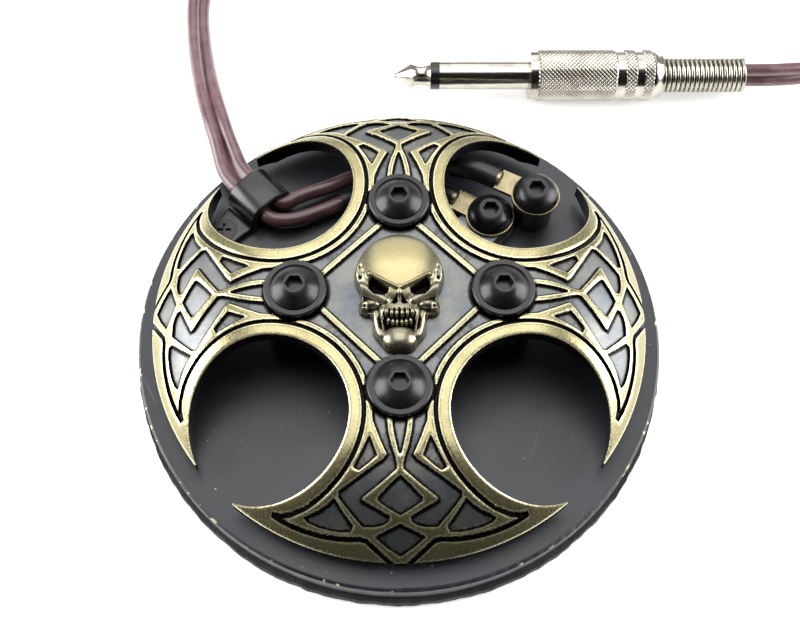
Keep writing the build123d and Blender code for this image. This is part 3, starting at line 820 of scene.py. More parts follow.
# ---------------------------------------------------------------- lead
@dataclass
class Lead:
    """Two-core flat lead from the clip, round a coil and on to the plug."""

    strand_r: float = 1.475
    length: float = 1500.0
    exit: tuple[float, float, float] = (-32.97, 32.69, 12.3)
    across: tuple[float, float, float] = (-0.719, -0.695, 0.0)
    coil_at: Point = (26.0, 155.0)
    coil_radii: tuple[float, ...] = (36.5, 30.6, 24.8)
    points_a_turn: int = 16
    kept_twist: float = 0.999
    out: list[tuple[float, float, float]] = field(default_factory=lambda: [
        (-35.33, 35.14, 12.3), (-37.0, 39.8, 13.8), (-39.7, 47.5, 14.9), (-42.6, 57.2, 12.4),
        (-45.4, 68.0, 8.0), (-47.9, 79.8, 4.4), (-49.6, 92.8, 2.95), (-47.6, 108.2, 2.95),
        (-38.8, 120.6, 2.95), (-25.2, 127.6, 2.95), (-10.0, 127.4, 2.95), (4.2, 122.2, 2.95),
    ])
    back: list[tuple[float, float, float]] = field(default_factory=lambda: [
        (62.0, 120.6, 3.3), (75.5, 130.4, 2.95), (90.0, 134.4, 2.95), (105.8, 131.6, 2.95),
        (119.6, 121.4, 2.95), (126.0, 107.0, 2.95), (124.6, 91.8, 2.95), (117.2, 78.8, 2.95),
        (105.0, 70.2, 4.0), (90.5, 67.0, 5.8), (76.0, 67.0, 5.8), (62.0, 67.0, 5.8),
    ])

    def coil(self) -> list[tuple[float, float, float]]:
        """Points of the coil's turns: three columns below, the same three on top, then over and down.

        Returns:
            The points from where the lead comes in to where it leaves.
        """
        shuffle = random.Random(7)
        start = -123.6 + 360 / self.points_a_turn
        turns = 6.17
        count = int(turns * self.points_a_turn)
        outer, middle, inner = self.coil_radii
        stops = [
            (0.0, outer, 2.95), (0.7, outer, 2.95), (1.0, middle, 2.95), (1.7, middle, 2.95),
            (2.0, inner, 2.95), (2.7, inner, 2.95), (3.0, inner - 0.6, 8.85), (3.7, inner, 8.95),
            (4.0, middle, 8.95), (4.7, middle, 8.95), (5.0, outer, 8.95), (5.7, outer, 8.95),
            (5.95, outer + 5.2, 8.95), (6.08, outer + 6.4, 8.4), (6.2, outer + 7.0, 5.6),
        ]
        made = []
        for k in range(count):
            t = k / self.points_a_turn
            radius = float(np.interp(t, [s[0] for s in stops], [s[1] for s in stops]))
            z = float(np.interp(t, [s[0] for s in stops], [s[2] for s in stops]))
            radius += shuffle.uniform(-0.25, 0.25)
            a = math.radians(start + 360 * t)
            made.append((self.coil_at[0] + radius * math.cos(a), self.coil_at[1] + radius * math.sin(a), z))
        return made

    def route(self) -> bpy.types.Object:
        """The lead's line as one NURBS spline."""
        curve = bpy.data.curves.new("lead_line", "CURVE")
        curve.dimensions = "3D"
        curve.resolution_u = 8
        spline = curve.splines.new("NURBS")
        points = [self.exit, *self.out, *self.coil(), *self.back]
        spline.points.add(len(points) - 1)
        for spot, point in zip(spline.points, points):
            spot.co = (point[0] * MM, point[1] * MM, point[2] * MM, 1.0)
        spline.order_u = 3
        spline.use_endpoint_u = True
        line = bpy.data.objects.new("lead_line", curve)
        bpy.context.scene.collection.objects.link(line)
        return line

    def build(self) -> bpy.types.Object:
        line = self.route()
        bpy.context.view_layer.update()
        drawn = bpy.data.meshes.new_from_object(line)
        path = np.array([v.co for v in drawn.vertices], float)
        bpy.data.objects.remove(line)
        bpy.data.meshes.remove(drawn)
        gaps = np.linalg.norm(np.diff(path, axis=0), axis=1)
        path = path[np.concatenate([[True], gaps > 1e-6])]
        run = np.concatenate([[0], np.cumsum(np.linalg.norm(np.diff(path, axis=0), axis=1))]) / MM
        ahead = np.gradient(path, axis=0)
        ahead /= np.linalg.norm(ahead, axis=1)[:, None]
        side = Vector(self.across)
        points: list[list[float]] = []
        around = 0
        for k, centre in enumerate(path):
            way = Vector(ahead[k])
            side = (side - way * side.dot(way)).normalized()
            roll = self.roll(float(run[k]), float(run[-1]))
            wide = Quaternion(way, roll) @ side
            thick = way.cross(wide)
            split = 0.95 * float(1 - ease(np.array(run[k]), 3.0, 13.0))
            outline = self.outline(split)
            around = len(outline)
            points += [list(Vector(centre) / MM + wide * x + thick * y) for x, y in outline]
        lead = mesh_piece("lead_twin_core", points, tube_faces(len(path), around), 60)
        dress(lead, LeadSkin("soft_pvc_lead").build())
        join_up(lead, Body.BASE, Slot.LEAD, "cord_lead", "cord_coil", "cord_tail")
        LOG.info("lead %.0f mm of %.0f", run[-1], self.length)
        return lead

    def roll(self, at: float, end: float) -> float:
        """How far the flat lead has turned about itself, in radians, at a distance from the clip."""
        rise = float(ease(np.array(at), 12.0, 70.0))
        twist = max(0.0, at - 80.0) / 150.0 * 2 * math.pi
        most = (end - 200.0) / 150.0 * 2 * math.pi
        settle = max(float(1 - ease(np.array(at), end - 120.0, end - 60.0)), self.kept_twist)
        return math.radians(48) * rise + min(twist, most) * settle

    def outline(self, split: float) -> list[Point]:
        """Outline of two joined strands, with the web cut deeper where they are split.

        Args:
            split: half the gap between the strands in millimetres.
        Returns:
            Points round the outline.
        """
        r, off = self.strand_r, self.strand_r + split * 0.5
        right = [(off + r * math.cos(math.radians(a)), r * math.sin(math.radians(a)))
                 for a in range(-145, 146, 29)]
        left = [(-x, -y) for x, y in right]
        web = 0.55 if split < 0.02 else 0.25
        return [*right, (0.0, web), *left, (0.0, -web)]


# ---------------------------------------------------------------- pedal plate
@dataclass
class Eighth:
    """Mesh of one eighth of the plate, with what its finish reads at each point."""

    points: list[list[float]]
    faces: list[tuple[int, ...]]
    to_edge: list[float]
    wall: list[float]

    def add(self, x: float, y: float, z: float) -> int:
        """Add a point of a wall or of the underside, and give its number."""
        self.points.append([float(x), float(y), float(z)])
        self.to_edge.append(-3.0)
        self.wall.append(1.0)
        return len(self.points) - 1


def numbered(point: Point, points: list[Point], known: dict[Point, int]) -> int:
    """Number of a point among points seen from above, which it joins if it is new."""
    tag = (round(float(point[0]), 4), round(float(point[1]), 4))
    if tag not in known:
        known[tag] = len(points)
        points.append(tag)
    return known[tag]


@dataclass
class PedalPlate:
    """Cast cross with raised knotwork, a dome falling to the rim and four round cut-outs."""

    top: float = field(default_factory=lambda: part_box("pressure_cross")[1].z / MM)
    rim_r: float = field(default_factory=lambda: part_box("pressure_cross")[1].y / MM)
    rim_under: float = field(default_factory=lambda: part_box("pressure_cross")[0].z / MM)
    thick: float = 3.0
    flat_r: float = 26.0
    shoulder_r: float = 28.0
    cutout_r: float = 15.0
    cutout_at: float = 33.9
    horn_gap: float = 5.2
    screw_at: float = 19.5
    seat_r: float = 6.25
    hole_r: float = 3.8
    seat_z: float = 24.45
    relief: float = 0.85
    wall_run: float = 0.24
    thinned: float = 0.13
    crown: float = 0.12
    grooves: int = 2

    def heart(self) -> Point:
        """Centre of the cut-out at the front right."""
        return (self.cutout_at * math.sqrt(0.5), -self.cutout_at * math.sqrt(0.5))

    def edges(self) -> tuple[list[Point], list[Point], list[Point]]:
        """The eighth's real edges: screw seat, rim and cut-out, each from its start."""
        d = math.sqrt(0.5)
        cx, cy = self.heart()
        along = math.sqrt(self.rim_r ** 2 - self.horn_gap ** 2)
        tip = ((along - self.horn_gap) * d, -(along + self.horn_gap) * d)
        reach = self.cutout_at + math.sqrt(self.cutout_r ** 2 - self.horn_gap ** 2)
        mouth = ((reach - self.horn_gap) * d, -(reach + self.horn_gap) * d)
        rim_end = math.degrees(math.atan2(tip[1], tip[0]))
        cut_start = math.degrees(math.atan2(mouth[1] - cy, mouth[0] - cx))
        seat = arc((0, -self.screw_at), self.seat_r, 90, -90)
        rim = arc((0, 0), self.rim_r, -90, rim_end)
        cut = arc((cx, cy), self.cutout_r, cut_start, -225)
        return seat, rim, cut

    def outline(self) -> list[Point]:
        """Outline of one eighth of the plate, from its centre down the front arm's right half."""
        seat, rim, cut = self.edges()
        return [(0.0, 0.0), *seat, *rim, *cut]

    def recesses(self) -> list[list[Point]]:
        """Sunk fields and grooves between the bands, on the front arm's right half."""
        heart = self.heart()
        ring_groove = [*arc(heart, 17.6, 131, 246), (19.4, -40.75), (21.0, -40.75), (22.9, -40.3)]
        rim_groove = [(22.9, -40.3), (21.0, -41.5), (19.0, -42.5), (17.0, -43.3), (15.0, -43.95),
                      (13.0, -44.45), (11.0, -44.8), (9.0, -45.0), (7.2, -45.0), (6.0, -45.3),
                      (4.6, -46.4), (3.1, -47.5), (1.2, -48.9)]
        thin_band = arc(heart, 18.9, 133.5, 162)
        d = math.sqrt(0.5)
        return [
            stroke(ring_groove, 0.92),
            stroke(rim_groove, 0.85),
            [(-1.0, -24.0), (1.45, -24.0), (1.25, -26.5), (0.95, -28.4), (0.55, -30.2), (0.15, -31.7),
             (-1.0, -31.7)],
            [(2.5, -24.3), (4.9, -23.6), (4.75, -25.8), (3.6, -28.9), (2.25, -31.9), (2.95, -32.7),
             (6.8, -35.2), (10.75, -37.75), (10.75, -38.6), (8.6, -41.1), (6.55, -43.2), (4.4, -43.25),
             (3.0, -43.0), (1.95, -42.45), (1.85, -41.75), (4.1, -40.6), (6.75, -39.2), (6.55, -38.75),
             (3.5, -36.6), (0.65, -34.3), (0.6, -33.4), (1.0, -32.0), (1.6, -30.2), (2.1, -28.0)],
            [(5.35, -28.6), (5.95, -29.7), (6.6, -31.1), (7.35, -32.5), (8.15, -33.95), (7.2, -34.45),
             (5.6, -33.3), (4.05, -32.0), (4.75, -30.2)],
            [(-1.0, -36.25), (0.0, -35.35), (1.9, -36.95), (3.9, -38.9), (3.85, -39.35), (2.2, -40.4),
             (0.0, -41.55), (-1.0, -41.0)],
            [(11.55, -38.75), (12.6, -39.6), (14.2, -40.5), (17.0, -41.35), (16.3, -42.05),
             (14.4, -42.9), (12.4, -43.45), (10.4, -43.8), (8.7, -43.85), (8.25, -43.1), (9.8, -41.2)],
            [(-1.0, -43.4), (0.0, -42.95), (2.0, -43.75), (4.45, -44.75), (2.3, -46.3), (0.0, -47.5),
             (-1.0, -47.0)],
            [(5.2, -21.9), (6.15, -21.9), (6.45, -19.1), (5.9, -18.9), (4.8, -20.0)],
            [*thin_band, (4.3, -16.2), (3.9, -15.1), (13.45 * d + 0.5, -13.45 * d + 0.5)],
            [(-1.0, 1.0), (-1.0, -15.0), (2.4, -15.06), (12.35 * d + 0.7, -12.35 * d + 0.7), (1.0, 1.0)],
        ]

    def dome(self, radius: np.ndarray, drop: float = 0.0) -> np.ndarray:
        """Height of the top, or of the underside a given drop below it, at distances from the centre."""
        over = np.clip(radius - self.flat_r, 0, None)
        ball = self.shoulder_r - drop
        return self.top - self.shoulder_r + np.sqrt(np.clip(ball ** 2 - over ** 2, 0, None))

    def signed(self, spots: np.ndarray, fields: list[np.ndarray]) -> np.ndarray:
        """Distance from each spot to the bands' edges: above 0 in a sunk field, below 0 on a band."""
        within = np.zeros(len(spots))
        beyond = np.full(len(spots), 1e9)
        for outline in fields:
            gap = gap_to(spots, outline)
            hit = inside(spots, outline)
            within = np.where(hit, np.maximum(within, gap), within)
            beyond = np.minimum(beyond, gap)
        return np.where(within > 0, within, -beyond)

    def sprinkle(self, fields: list[np.ndarray], border: np.ndarray) -> np.ndarray:
        """Free points beside the bands' edges and over the fields.

        Args:
            fields: outlines of the sunk fields.
            border: the eighth's outline.
        Returns:
            Points inside the eighth.
        """
        made: list[np.ndarray] = []
        for outline in fields:
            ahead = np.roll(outline, -1, axis=0) - np.roll(outline, 1, axis=0)
            ahead /= np.maximum(np.linalg.norm(ahead, axis=1), 1e-9)[:, None]
            side = np.stack([-ahead[:, 1], ahead[:, 0]], axis=1)
            for off in (-0.62, -0.34, -0.14, 0.1, 0.2, 0.34, 0.62):
                for sign in (1, -1):
                    spots = outline + side * off * sign
                    true = self.signed(spots, fields)
                    keep = np.abs(true - off) < 0.25 * abs(off)
                    made.append(spots[keep])
        edge_ahead = np.roll(border, -1, axis=0) - np.roll(border, 1, axis=0)
        edge_ahead /= np.maximum(np.linalg.norm(edge_ahead, axis=1), 1e-9)[:, None]
        inward = np.stack([-edge_ahead[:, 1], edge_ahead[:, 0]], axis=1)
        for off in (0.12, 0.3, 0.6):
            spots = border + inward * off
            keep = inside(spots, border) & (np.abs(gap_to(spots, border) - off) < 0.03)
            made.append(spots[keep])
        shuffle = np.random.default_rng(3)
        grid = lattice((0.45, 34), (-48.2, -0.3), 0.9)
        grid = grid + shuffle.uniform(-0.12, 0.12, grid.shape)
        grid = grid[inside(grid, border)]
        grid = grid[(gap_to(grid, border) > 0.7) & (np.abs(self.signed(grid, fields)) > 0.75)]
        made.append(grid)
        spots = np.concatenate(made)
        spots = spots[inside(spots, border) & (gap_to(spots, border) > 0.06)]
        return spots

    def sector(self) -> Eighth:
        """One eighth of the plate, closed all round but for the seams to its neighbours."""
        border = evenly(self.outline(), 0.42)
        fields = [evenly(points, 0.42) for points in self.recesses()]
        fields = fields[:self.grooves] + [self.grown(f) for f in fields[self.grooves:]]
        verts = [Vector(p) for p in border]
        edges = [(k, (k + 1) % len(border)) for k in range(len(border))]
        for outline in fields:
            base = len(verts)
            verts += [Vector(p) for p in outline]
            edges += [(base + k, base + (k + 1) % len(outline)) for k in range(len(outline))]
        verts += [Vector(p) for p in self.sprinkle(fields, border)]
        flat, _, tris, _, _, _ = delaunay_2d_cdt(verts, edges, [], 0, 0.004)
        spots = np.array([(v.x, v.y) for v in flat])
        middles = np.array([spots[list(t)].mean(axis=0) for t in tris])
        keep = inside(middles, border)
        tris = [t for t, k in zip(tris, keep) if k]
        used = sorted({i for t in tris for i in t})
        index = {old: new for new, old in enumerate(used)}
        spots = spots[used]
        tris = [tuple(index[i] for i in t) for t in tris]
        gap = self.signed(spots, fields)
        seat, rim, cut = self.edges()
        lip = np.minimum(gap_to(spots, np.array(seat), False), gap_to(spots, np.array([*rim, *cut]), False))
        round_edge = 0.14 * (1 - ease(lip, 0.0, 0.3))
        fall = self.crown + (self.relief - self.crown) * ease(gap, 0.0, self.wall_run)
        depth = np.where(gap > 0, fall, self.crown * (1 - ease(-gap, 0.0, 0.45)))
        heights = self.dome(np.linalg.norm(spots, axis=1)) - depth - round_edge
        points = [[x, y, z] for (x, y), z in zip(spots, heights)]
        faces: list[tuple[int, ...]] = [self.facing_up(t, spots) for t in tris]
        to_edge = list(np.where(gap > 0, gap, np.maximum(gap, -lip - 0.02)))
        eighth = Eighth(points, faces, to_edge, [0.0] * len(points))
        self.underside(eighth, self.close(eighth, spots))
        return eighth

    def grown(self, outline: np.ndarray) -> np.ndarray:
        """A field's outline moved outward, so that the lines between fields get thinner."""
        ahead = np.roll(outline, -1, axis=0) - np.roll(outline, 1, axis=0)
        ahead /= np.maximum(np.linalg.norm(ahead, axis=1), 1e-9)[:, None]
        after = np.roll(outline, -1, axis=0)
        turn = float(np.sum(outline[:, 0] * after[:, 1] - after[:, 0] * outline[:, 1]))
        out = np.stack([ahead[:, 1], -ahead[:, 0]], axis=1) * (1 if turn > 0 else -1)
        return outline + out * self.thinned

    @staticmethod
    def facing_up(tri: tuple[int, ...], spots: np.ndarray) -> tuple[int, ...]:
        """A triangle's corners, turning left seen from above."""
        a, b, c = (spots[i] for i in tri)
        area = (b[0] - a[0]) * (c[1] - a[1]) - (b[1] - a[1]) * (c[0] - a[0])
        return tuple(tri) if area > 0 else tuple(tri)[::-1]

    def close(self, eighth: Eighth, spots: np.ndarray) -> list[tuple[Point, Point]]:
        """Add the walls and the screw's seat to one eighth.

        Args:
            eighth: the eighth's top, added to.
            spots: the top's points seen from above.
        Returns:
            The sides of the underside that the walls end on, seen from above.
        """
        sides: dict[tuple[int, int], None] = {}
        for face in eighth.faces:
            for a, b in zip(face, face[1:] + face[:1]):
                if (b, a) in sides:
                    del sides[(b, a)]
                else:
                    sides[(a, b)] = None
        radius = np.linalg.norm(spots, axis=1)
        from_screw = np.linalg.norm(spots - np.array([0, -self.screw_at]), axis=1)
        on_seam = (spots[:, 0] < 1e-4, np.abs(spots[:, 0] + spots[:, 1]) < 2e-3)
        lower: dict[int, int] = {}
        seats: dict[int, list[int]] = {}
        under_loop: list[tuple[Point, Point]] = []
        share = self.hole_r / self.seat_r
        for a, b in sides:
            if any(m[a] and m[b] for m in on_seam):
                continue
            if abs(from_screw[a] - self.seat_r) < 0.05 and abs(from_screw[b] - self.seat_r) < 0.05:
                for i in (a, b):
                    if i not in seats:
                        x, y = spots[i]
                        hx, hy = x * share, -self.screw_at + (y + self.screw_at) * share
                        seats[i] = [
                            eighth.add(x, y, self.seat_z), eighth.add(hx, hy, self.seat_z),
                            eighth.add(hx, hy, self.top - self.thick),
                        ]
                chain_a, chain_b = [a, *seats[a]], [b, *seats[b]]
                for k in range(3):
                    eighth.faces.append((chain_b[k], chain_a[k], chain_a[k + 1], chain_b[k + 1]))
                pa, pb = eighth.points[seats[a][2]], eighth.points[seats[b][2]]
                under_loop.append(((pa[0], pa[1]), (pb[0], pb[1])))
                continue
            for i in (a, b):
                if i not in lower:
                    z = max(self.rim_under, self.dome(np.array(radius[i]), self.thick))
                    lower[i] = eighth.add(*spots[i], z)
            eighth.faces.append((b, a, lower[a], lower[b]))
            under_loop.append((tuple(spots[a]), tuple(spots[b])))
        return under_loop

    def underside(self, eighth: Eighth, loop: list[tuple[Point, Point]]) -> None:
        """Add the plain underside of one eighth.

        Args:
            eighth: the eighth, added to.
            loop: the underside's outer sides seen from above.
        """
        d = math.sqrt(0.5)
        inner = (self.cutout_at - self.cutout_r) * d
        verts: list[Point] = []
        known: dict[Point, int] = {}
        edges = [(numbered(a, verts, known), numbered(b, verts, known)) for a, b in loop]
        for start, end in (
            ((0.0, 0.0), (0.0, -self.screw_at + self.hole_r)),
            ((0.0, -self.screw_at - self.hole_r), (0.0, -self.rim_r)),
            ((0.0, 0.0), (inner, -inner)),
        ):
            ids = [numbered(tuple(p), verts, known) for p in evenly([start, end], 2.5, False)]
            edges += list(zip(ids, ids[1:]))
        border = np.array(self.outline())
        hole = arc((0, -self.screw_at), self.hole_r, 0, 360)
        grid = lattice((1.3, 32), (-47, -1), 2.4)
        whole = np.array([(0.0, 0.0), (0.0, -self.rim_r), *border[np.argmin(border[:, 1]):]])
        grid = grid[inside(grid, whole) & (gap_to(grid, whole) > 1.0)]
        grid = grid[np.linalg.norm(grid - np.array([0, -self.screw_at]), axis=1) > self.hole_r + 0.8]
        for p in grid:
            numbered(tuple(p), verts, known)
        flat, _, tris, _, _, _ = delaunay_2d_cdt([Vector(v) for v in verts], edges, [], 0, 0.001)
        spots = np.array([(v.x, v.y) for v in flat])
        middles = np.array([spots[list(t)].mean(axis=0) for t in tris])
        keep = inside(middles, whole) & ~inside(middles, np.array(hole))
        heights = np.maximum(self.rim_under, self.dome(np.linalg.norm(spots, axis=1), self.thick))
        numbers = [eighth.add(x, y, z) for (x, y), z in zip(spots, heights)]
        for tri, kept in zip(tris, keep):
            if kept:
                eighth.faces.append(tuple(numbers[i] for i in self.facing_up(tuple(tri), spots)[::-1]))

    def build(self) -> bpy.types.Object:
        """Turn and mirror the eighth into the whole plate, join it and dress it."""
        eighth = self.sector()
        cloud = np.array(eighth.points)
        all_points: list[np.ndarray] = []
        all_faces: list[tuple[int, ...]] = []
        for quarter in range(4):
            spin = np.array(Matrix.Rotation(math.radians(90 * quarter), 3, "Z"))
            for mirror in (1, -1):
                base = sum(len(p) for p in all_points)
                all_points.append((cloud * np.array([mirror, 1, 1])) @ spin.T)
                all_faces += [tuple(base + i for i in (f if mirror == 1 else f[::-1])) for f in eighth.faces]
        joined = np.concatenate(all_points)
        tags = np.round(joined / 0.004).astype(np.int64)
        _, first, back = np.unique(tags, axis=0, return_index=True, return_inverse=True)
        back = back.reshape(-1)
        merged = []
        for f in all_faces:
            corner = [int(back[i]) for i in f]
            corner = [c for k, c in enumerate(corner) if c != corner[k - 1]]
            if len(corner) >= 3 and len(set(corner)) == len(corner):
                merged.append(tuple(corner))
        plate = mesh_piece("pedal_plate_knotwork", joined[first], merged, 40)
        point_values(plate, "to_edge", np.tile(eighth.to_edge, 8)[first])
        point_values(plate, "wall", np.tile(eighth.wall, 8)[first])
        dress(plate, AntiqueBrass("antique_cast_brass").build())
        join_up(plate, Body.PEDAL, Slot.BRASS, "pressure_cross")
        LOG.info("pedal plate with %d faces", len(merged))
        return plate


# ---------------------------------------------------------------- skull boss
@dataclass
class SkullBoss:
    """Small plain skull cast on the plate's middle field."""

    floor_z: float = 24.86
    foot: float = field(default_factory=lambda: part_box("pressure_cross")[1].z / MM)
    rings: int = 84
    around: int = 320
    centre: Point = (0.0, -0.4)
    # Centre and reach of the painted highlight on the cranium.
    crown: Point = (0.0, 4.5)
    crown_r: float = 7.6
    socket: tuple[Point, ...] = (
        (5.95, 0.9), (5.0, 1.85), (3.3, 0.55), (1.75, -0.65), (1.95, -1.6), (3.2, -2.2), (4.8, -2.0),
        (5.8, -0.9),
    )
    nostril: tuple[Point, ...] = ((0.22, -1.35), (0.95, -2.4), (1.75, -3.5), (0.9, -3.9), (0.3, -3.6))

    def outline(self) -> list[Point]:
        """Right half of the boss's outline from the top down; the left half mirrors it."""
        return [
            (0.0, 11.7), (2.2, 11.4), (4.3, 10.4), (6.1, 8.8), (7.5, 6.7), (8.3, 4.4), (8.45, 2.4),
            (8.0, 0.6), (7.35, -0.9), (7.2, -2.2), (7.55, -3.5), (7.3, -4.8), (6.3, -5.5), (5.3, -5.6),
            (4.9, -6.6), (4.95, -8.4), (4.4, -9.8), (3.5, -10.9), (2.7, -12.1), (1.7, -12.8), (0.0, -12.95),
        ]

    def capsule(self, spots: np.ndarray, a: Point, b: Point, radius: float) -> np.ndarray:
        """Share of a rounded bar's height over each spot, on both sides of the middle."""
        p = np.column_stack([np.abs(spots[:, 0]), spots[:, 1]])
        run = np.array(b, float) - np.array(a, float)
        share = np.clip(((p - np.array(a)) @ run) / max(float(run @ run), 1e-9), 0, 1)
        gap = np.linalg.norm(p - (np.array(a) + share[:, None] * run), axis=1)
        return np.sqrt(np.clip(1 - (gap / radius) ** 2, 0, 1))

    def oval(self, spots: np.ndarray, at: Point, rx: float, ry: float) -> np.ndarray:
        """Share of a dome's height over each spot, on both sides of the middle."""
        dx = (np.abs(spots[:, 0]) - at[0]) / rx
        dy = (spots[:, 1] - at[1]) / ry
        return np.sqrt(np.clip(1 - dx ** 2 - dy ** 2, 0, 1))

    def dent(self, spots: np.ndarray, corners: Sequence[Point], soft: float) -> np.ndarray:
        """How far inside a hollow each spot is, from 0 at its brim to 1."""
        mirrored = np.column_stack([np.abs(spots[:, 0]), spots[:, 1]])
        shape = np.array(corners, float)
        gap = np.where(inside(mirrored, shape), gap_to(mirrored, shape), 0)
        return ease(gap, 0.0, soft)

    def height(self, s: np.ndarray) -> np.ndarray:
        """Height of the boss over the plate's bands at each spot, in millimetres."""
        skull = 2.8 * self.oval(s, (0.0, 4.0), 8.6, 7.9) ** 0.8
        skull = np.maximum(skull, 2.0 * self.oval(s, (0.0, 0.4), 7.6, 5.2))
        arch = 2.25 * self.capsule(s, (7.0, -0.2), (2.6, -3.0), 1.35)
        cheek = 1.95 * self.oval(s, (5.2, -3.6), 2.1, 1.1)
        knob = 1.9 * self.oval(s, (6.5, -4.35), 0.8, 0.75) ** 0.7
        muzzle = 2.2 * self.oval(s, (0.0, -5.0), 4.3, 3.2)
        jaw = 1.75 * self.capsule(s, (4.3, -5.6), (3.3, -10.0), 1.15)
        chin = 2.5 * self.oval(s, (0.0, -10.5), 3.3, 2.7) ** 0.8
        nose = 2.55 * self.capsule(s, (0.0, 0.6), (0.0, -1.7), 0.8)
        brow = 2.85 * self.capsule(s, (5.6, 2.15), (0.6, -0.55), 0.85)
        high = np.maximum.reduce([skull, arch, cheek, knob, muzzle, jaw, chin, nose, brow])
        high = np.maximum(high, 0.6)
        high -= 2.2 * self.dent(s, self.socket, 0.8)
        high -= 1.5 * self.dent(s, self.nostril, 0.4)
        high -= 0.9 * self.dent(s, [(7.2, 4.6), (7.95, 3.8), (7.7, 1.5), (6.9, 1.6), (6.8, 3.2)], 0.45)
        high += 0.55 * self.capsule(s, (7.35, 3.6), (7.3, 2.5), 0.4)
        high -= 0.8 * self.dent(s, [(6.9, -3.6), (6.1, -3.6), (6.0, -4.4), (6.8, -4.6)], 0.35)
        mouth = [(-1.0, -4.8), (2.3, -4.8), (3.15, -5.4), (2.9, -7.2), (2.3, -8.5), (-1.0, -8.7)]
        high -= 1.35 * self.dent(s, mouth, 0.45)
        for k in range(3):
            upper = self.oval(s, (0.5 + 0.93 * k, -5.75 + 0.07 * k * k), 0.5, 1.0)
            lower = self.oval(s, (0.42 + 0.8 * k, -7.6 + 0.08 * k * k), 0.43, 0.78)
            high = np.maximum.reduce([high, 2.6 * upper ** 0.45, 2.4 * lower ** 0.45])
        hollow_cheek = [(3.6, -5.6), (4.2, -6.6), (3.9, -8.6), (3.0, -9.4), (3.1, -7.4)]
        high -= 0.9 * self.dent(s, hollow_cheek, 0.4)
        return high

    def build(self) -> bpy.types.Object:
        """Raise the boss over a fan of rings, measure its hollows and dress it."""
        right = self.outline()
        loop = right + [(-x, y) for x, y in right[-2:0:-1]]
        border = self.rounded(loop)
        centre = np.array(self.centre)
        share = np.linspace(0.012, 1.0, self.rings)
        spots = centre + share[:, None, None] * (border[None, :, :] - centre)
        flat = spots.reshape(-1, 2)
        high = self.height(flat).reshape(self.rings, self.around)
        fall = ease(1 - share, 0.0, 0.05)[:, None] ** 0.5
        high = high * fall
        soft = high.copy()
        for _ in range(26):
            soft[1:-1] = (soft[:-2] + soft[2:] + np.roll(soft[1:-1], 1, 1) + np.roll(soft[1:-1], -1, 1)) / 4
        hollow = soft - high
        deep = np.maximum(self.dent(flat, self.socket, 0.5), self.dent(flat, self.nostril, 0.3))
        hollow = np.maximum(hollow, 0.5 * deep.reshape(self.rings, self.around))
        for _ in range(2):
            mid = (high[:-2] + high[2:] + np.roll(high[1:-1], 1, 1) + np.roll(high[1:-1], -1, 1)) / 4
            high[1:-1] = 0.5 * high[1:-1] + 0.5 * mid
        z = self.foot + high
        points = [[x, y, h] for (x, y), h in zip(flat, z.reshape(-1))]
        points += [[x, y, self.floor_z] for x, y in border]
        n, last, base = self.around, (self.rings - 1) * self.around, self.rings * self.around
        walls = [f[::-1] for k in range(self.rings) for f in ring_faces(k * n, (k + 1) * n, n)]
        faces = [*walls[:last], tuple(range(n))[::-1], *walls[last:], tuple(range(base, base + n))]
        skull = mesh_piece("skull_boss", points, faces, 60)
        face_outward(skull)
        point_values(skull, "hollow", np.concatenate([hollow.reshape(-1), np.full(self.around, 0.5)]))
        # Painted highlight: full round the crown point, falling to a quarter of it at the sides.
        from_crown = np.linalg.norm(np.concatenate([flat, border]) - np.array(self.crown), axis=1)
        point_values(skull, "painted_crown_highlight", 1 - 0.75 * ease(from_crown / self.crown_r, 0.5, 1.0))
        dress(skull, CarvedBrass("rubbed_cast_brass").build())
        join_up(skull, Body.PEDAL, Slot.BRASS, "skull_emblem")
        LOG.info("skull boss with %d faces", len(faces))
        return skull

    def rounded(self, loop: list[Point]) -> np.ndarray:
        """A closed smooth line through the outline's points, evenly spaced."""
        p = np.array(loop)
        fine: list[np.ndarray] = []
        for a, b, c, d in zip(np.roll(p, 1, 0), p, np.roll(p, -1, 0), np.roll(p, -2, 0)):
            for t in np.linspace(0, 1, 12, endpoint=False):
                fine.append(0.5 * (2 * b + (c - a) * t + (2 * a - 5 * b + 4 * c - d) * t ** 2
                                   + (3 * b - a - 3 * c + d) * t ** 3))
        line = np.array(fine + [fine[0]])
        run = np.concatenate([[0], np.cumsum(np.linalg.norm(np.diff(line, axis=0), axis=1))])
        at = np.linspace(0, run[-1], self.around, endpoint=False)
        return np.column_stack([np.interp(at, run, line[:, 0]), np.interp(at, run, line[:, 1])])


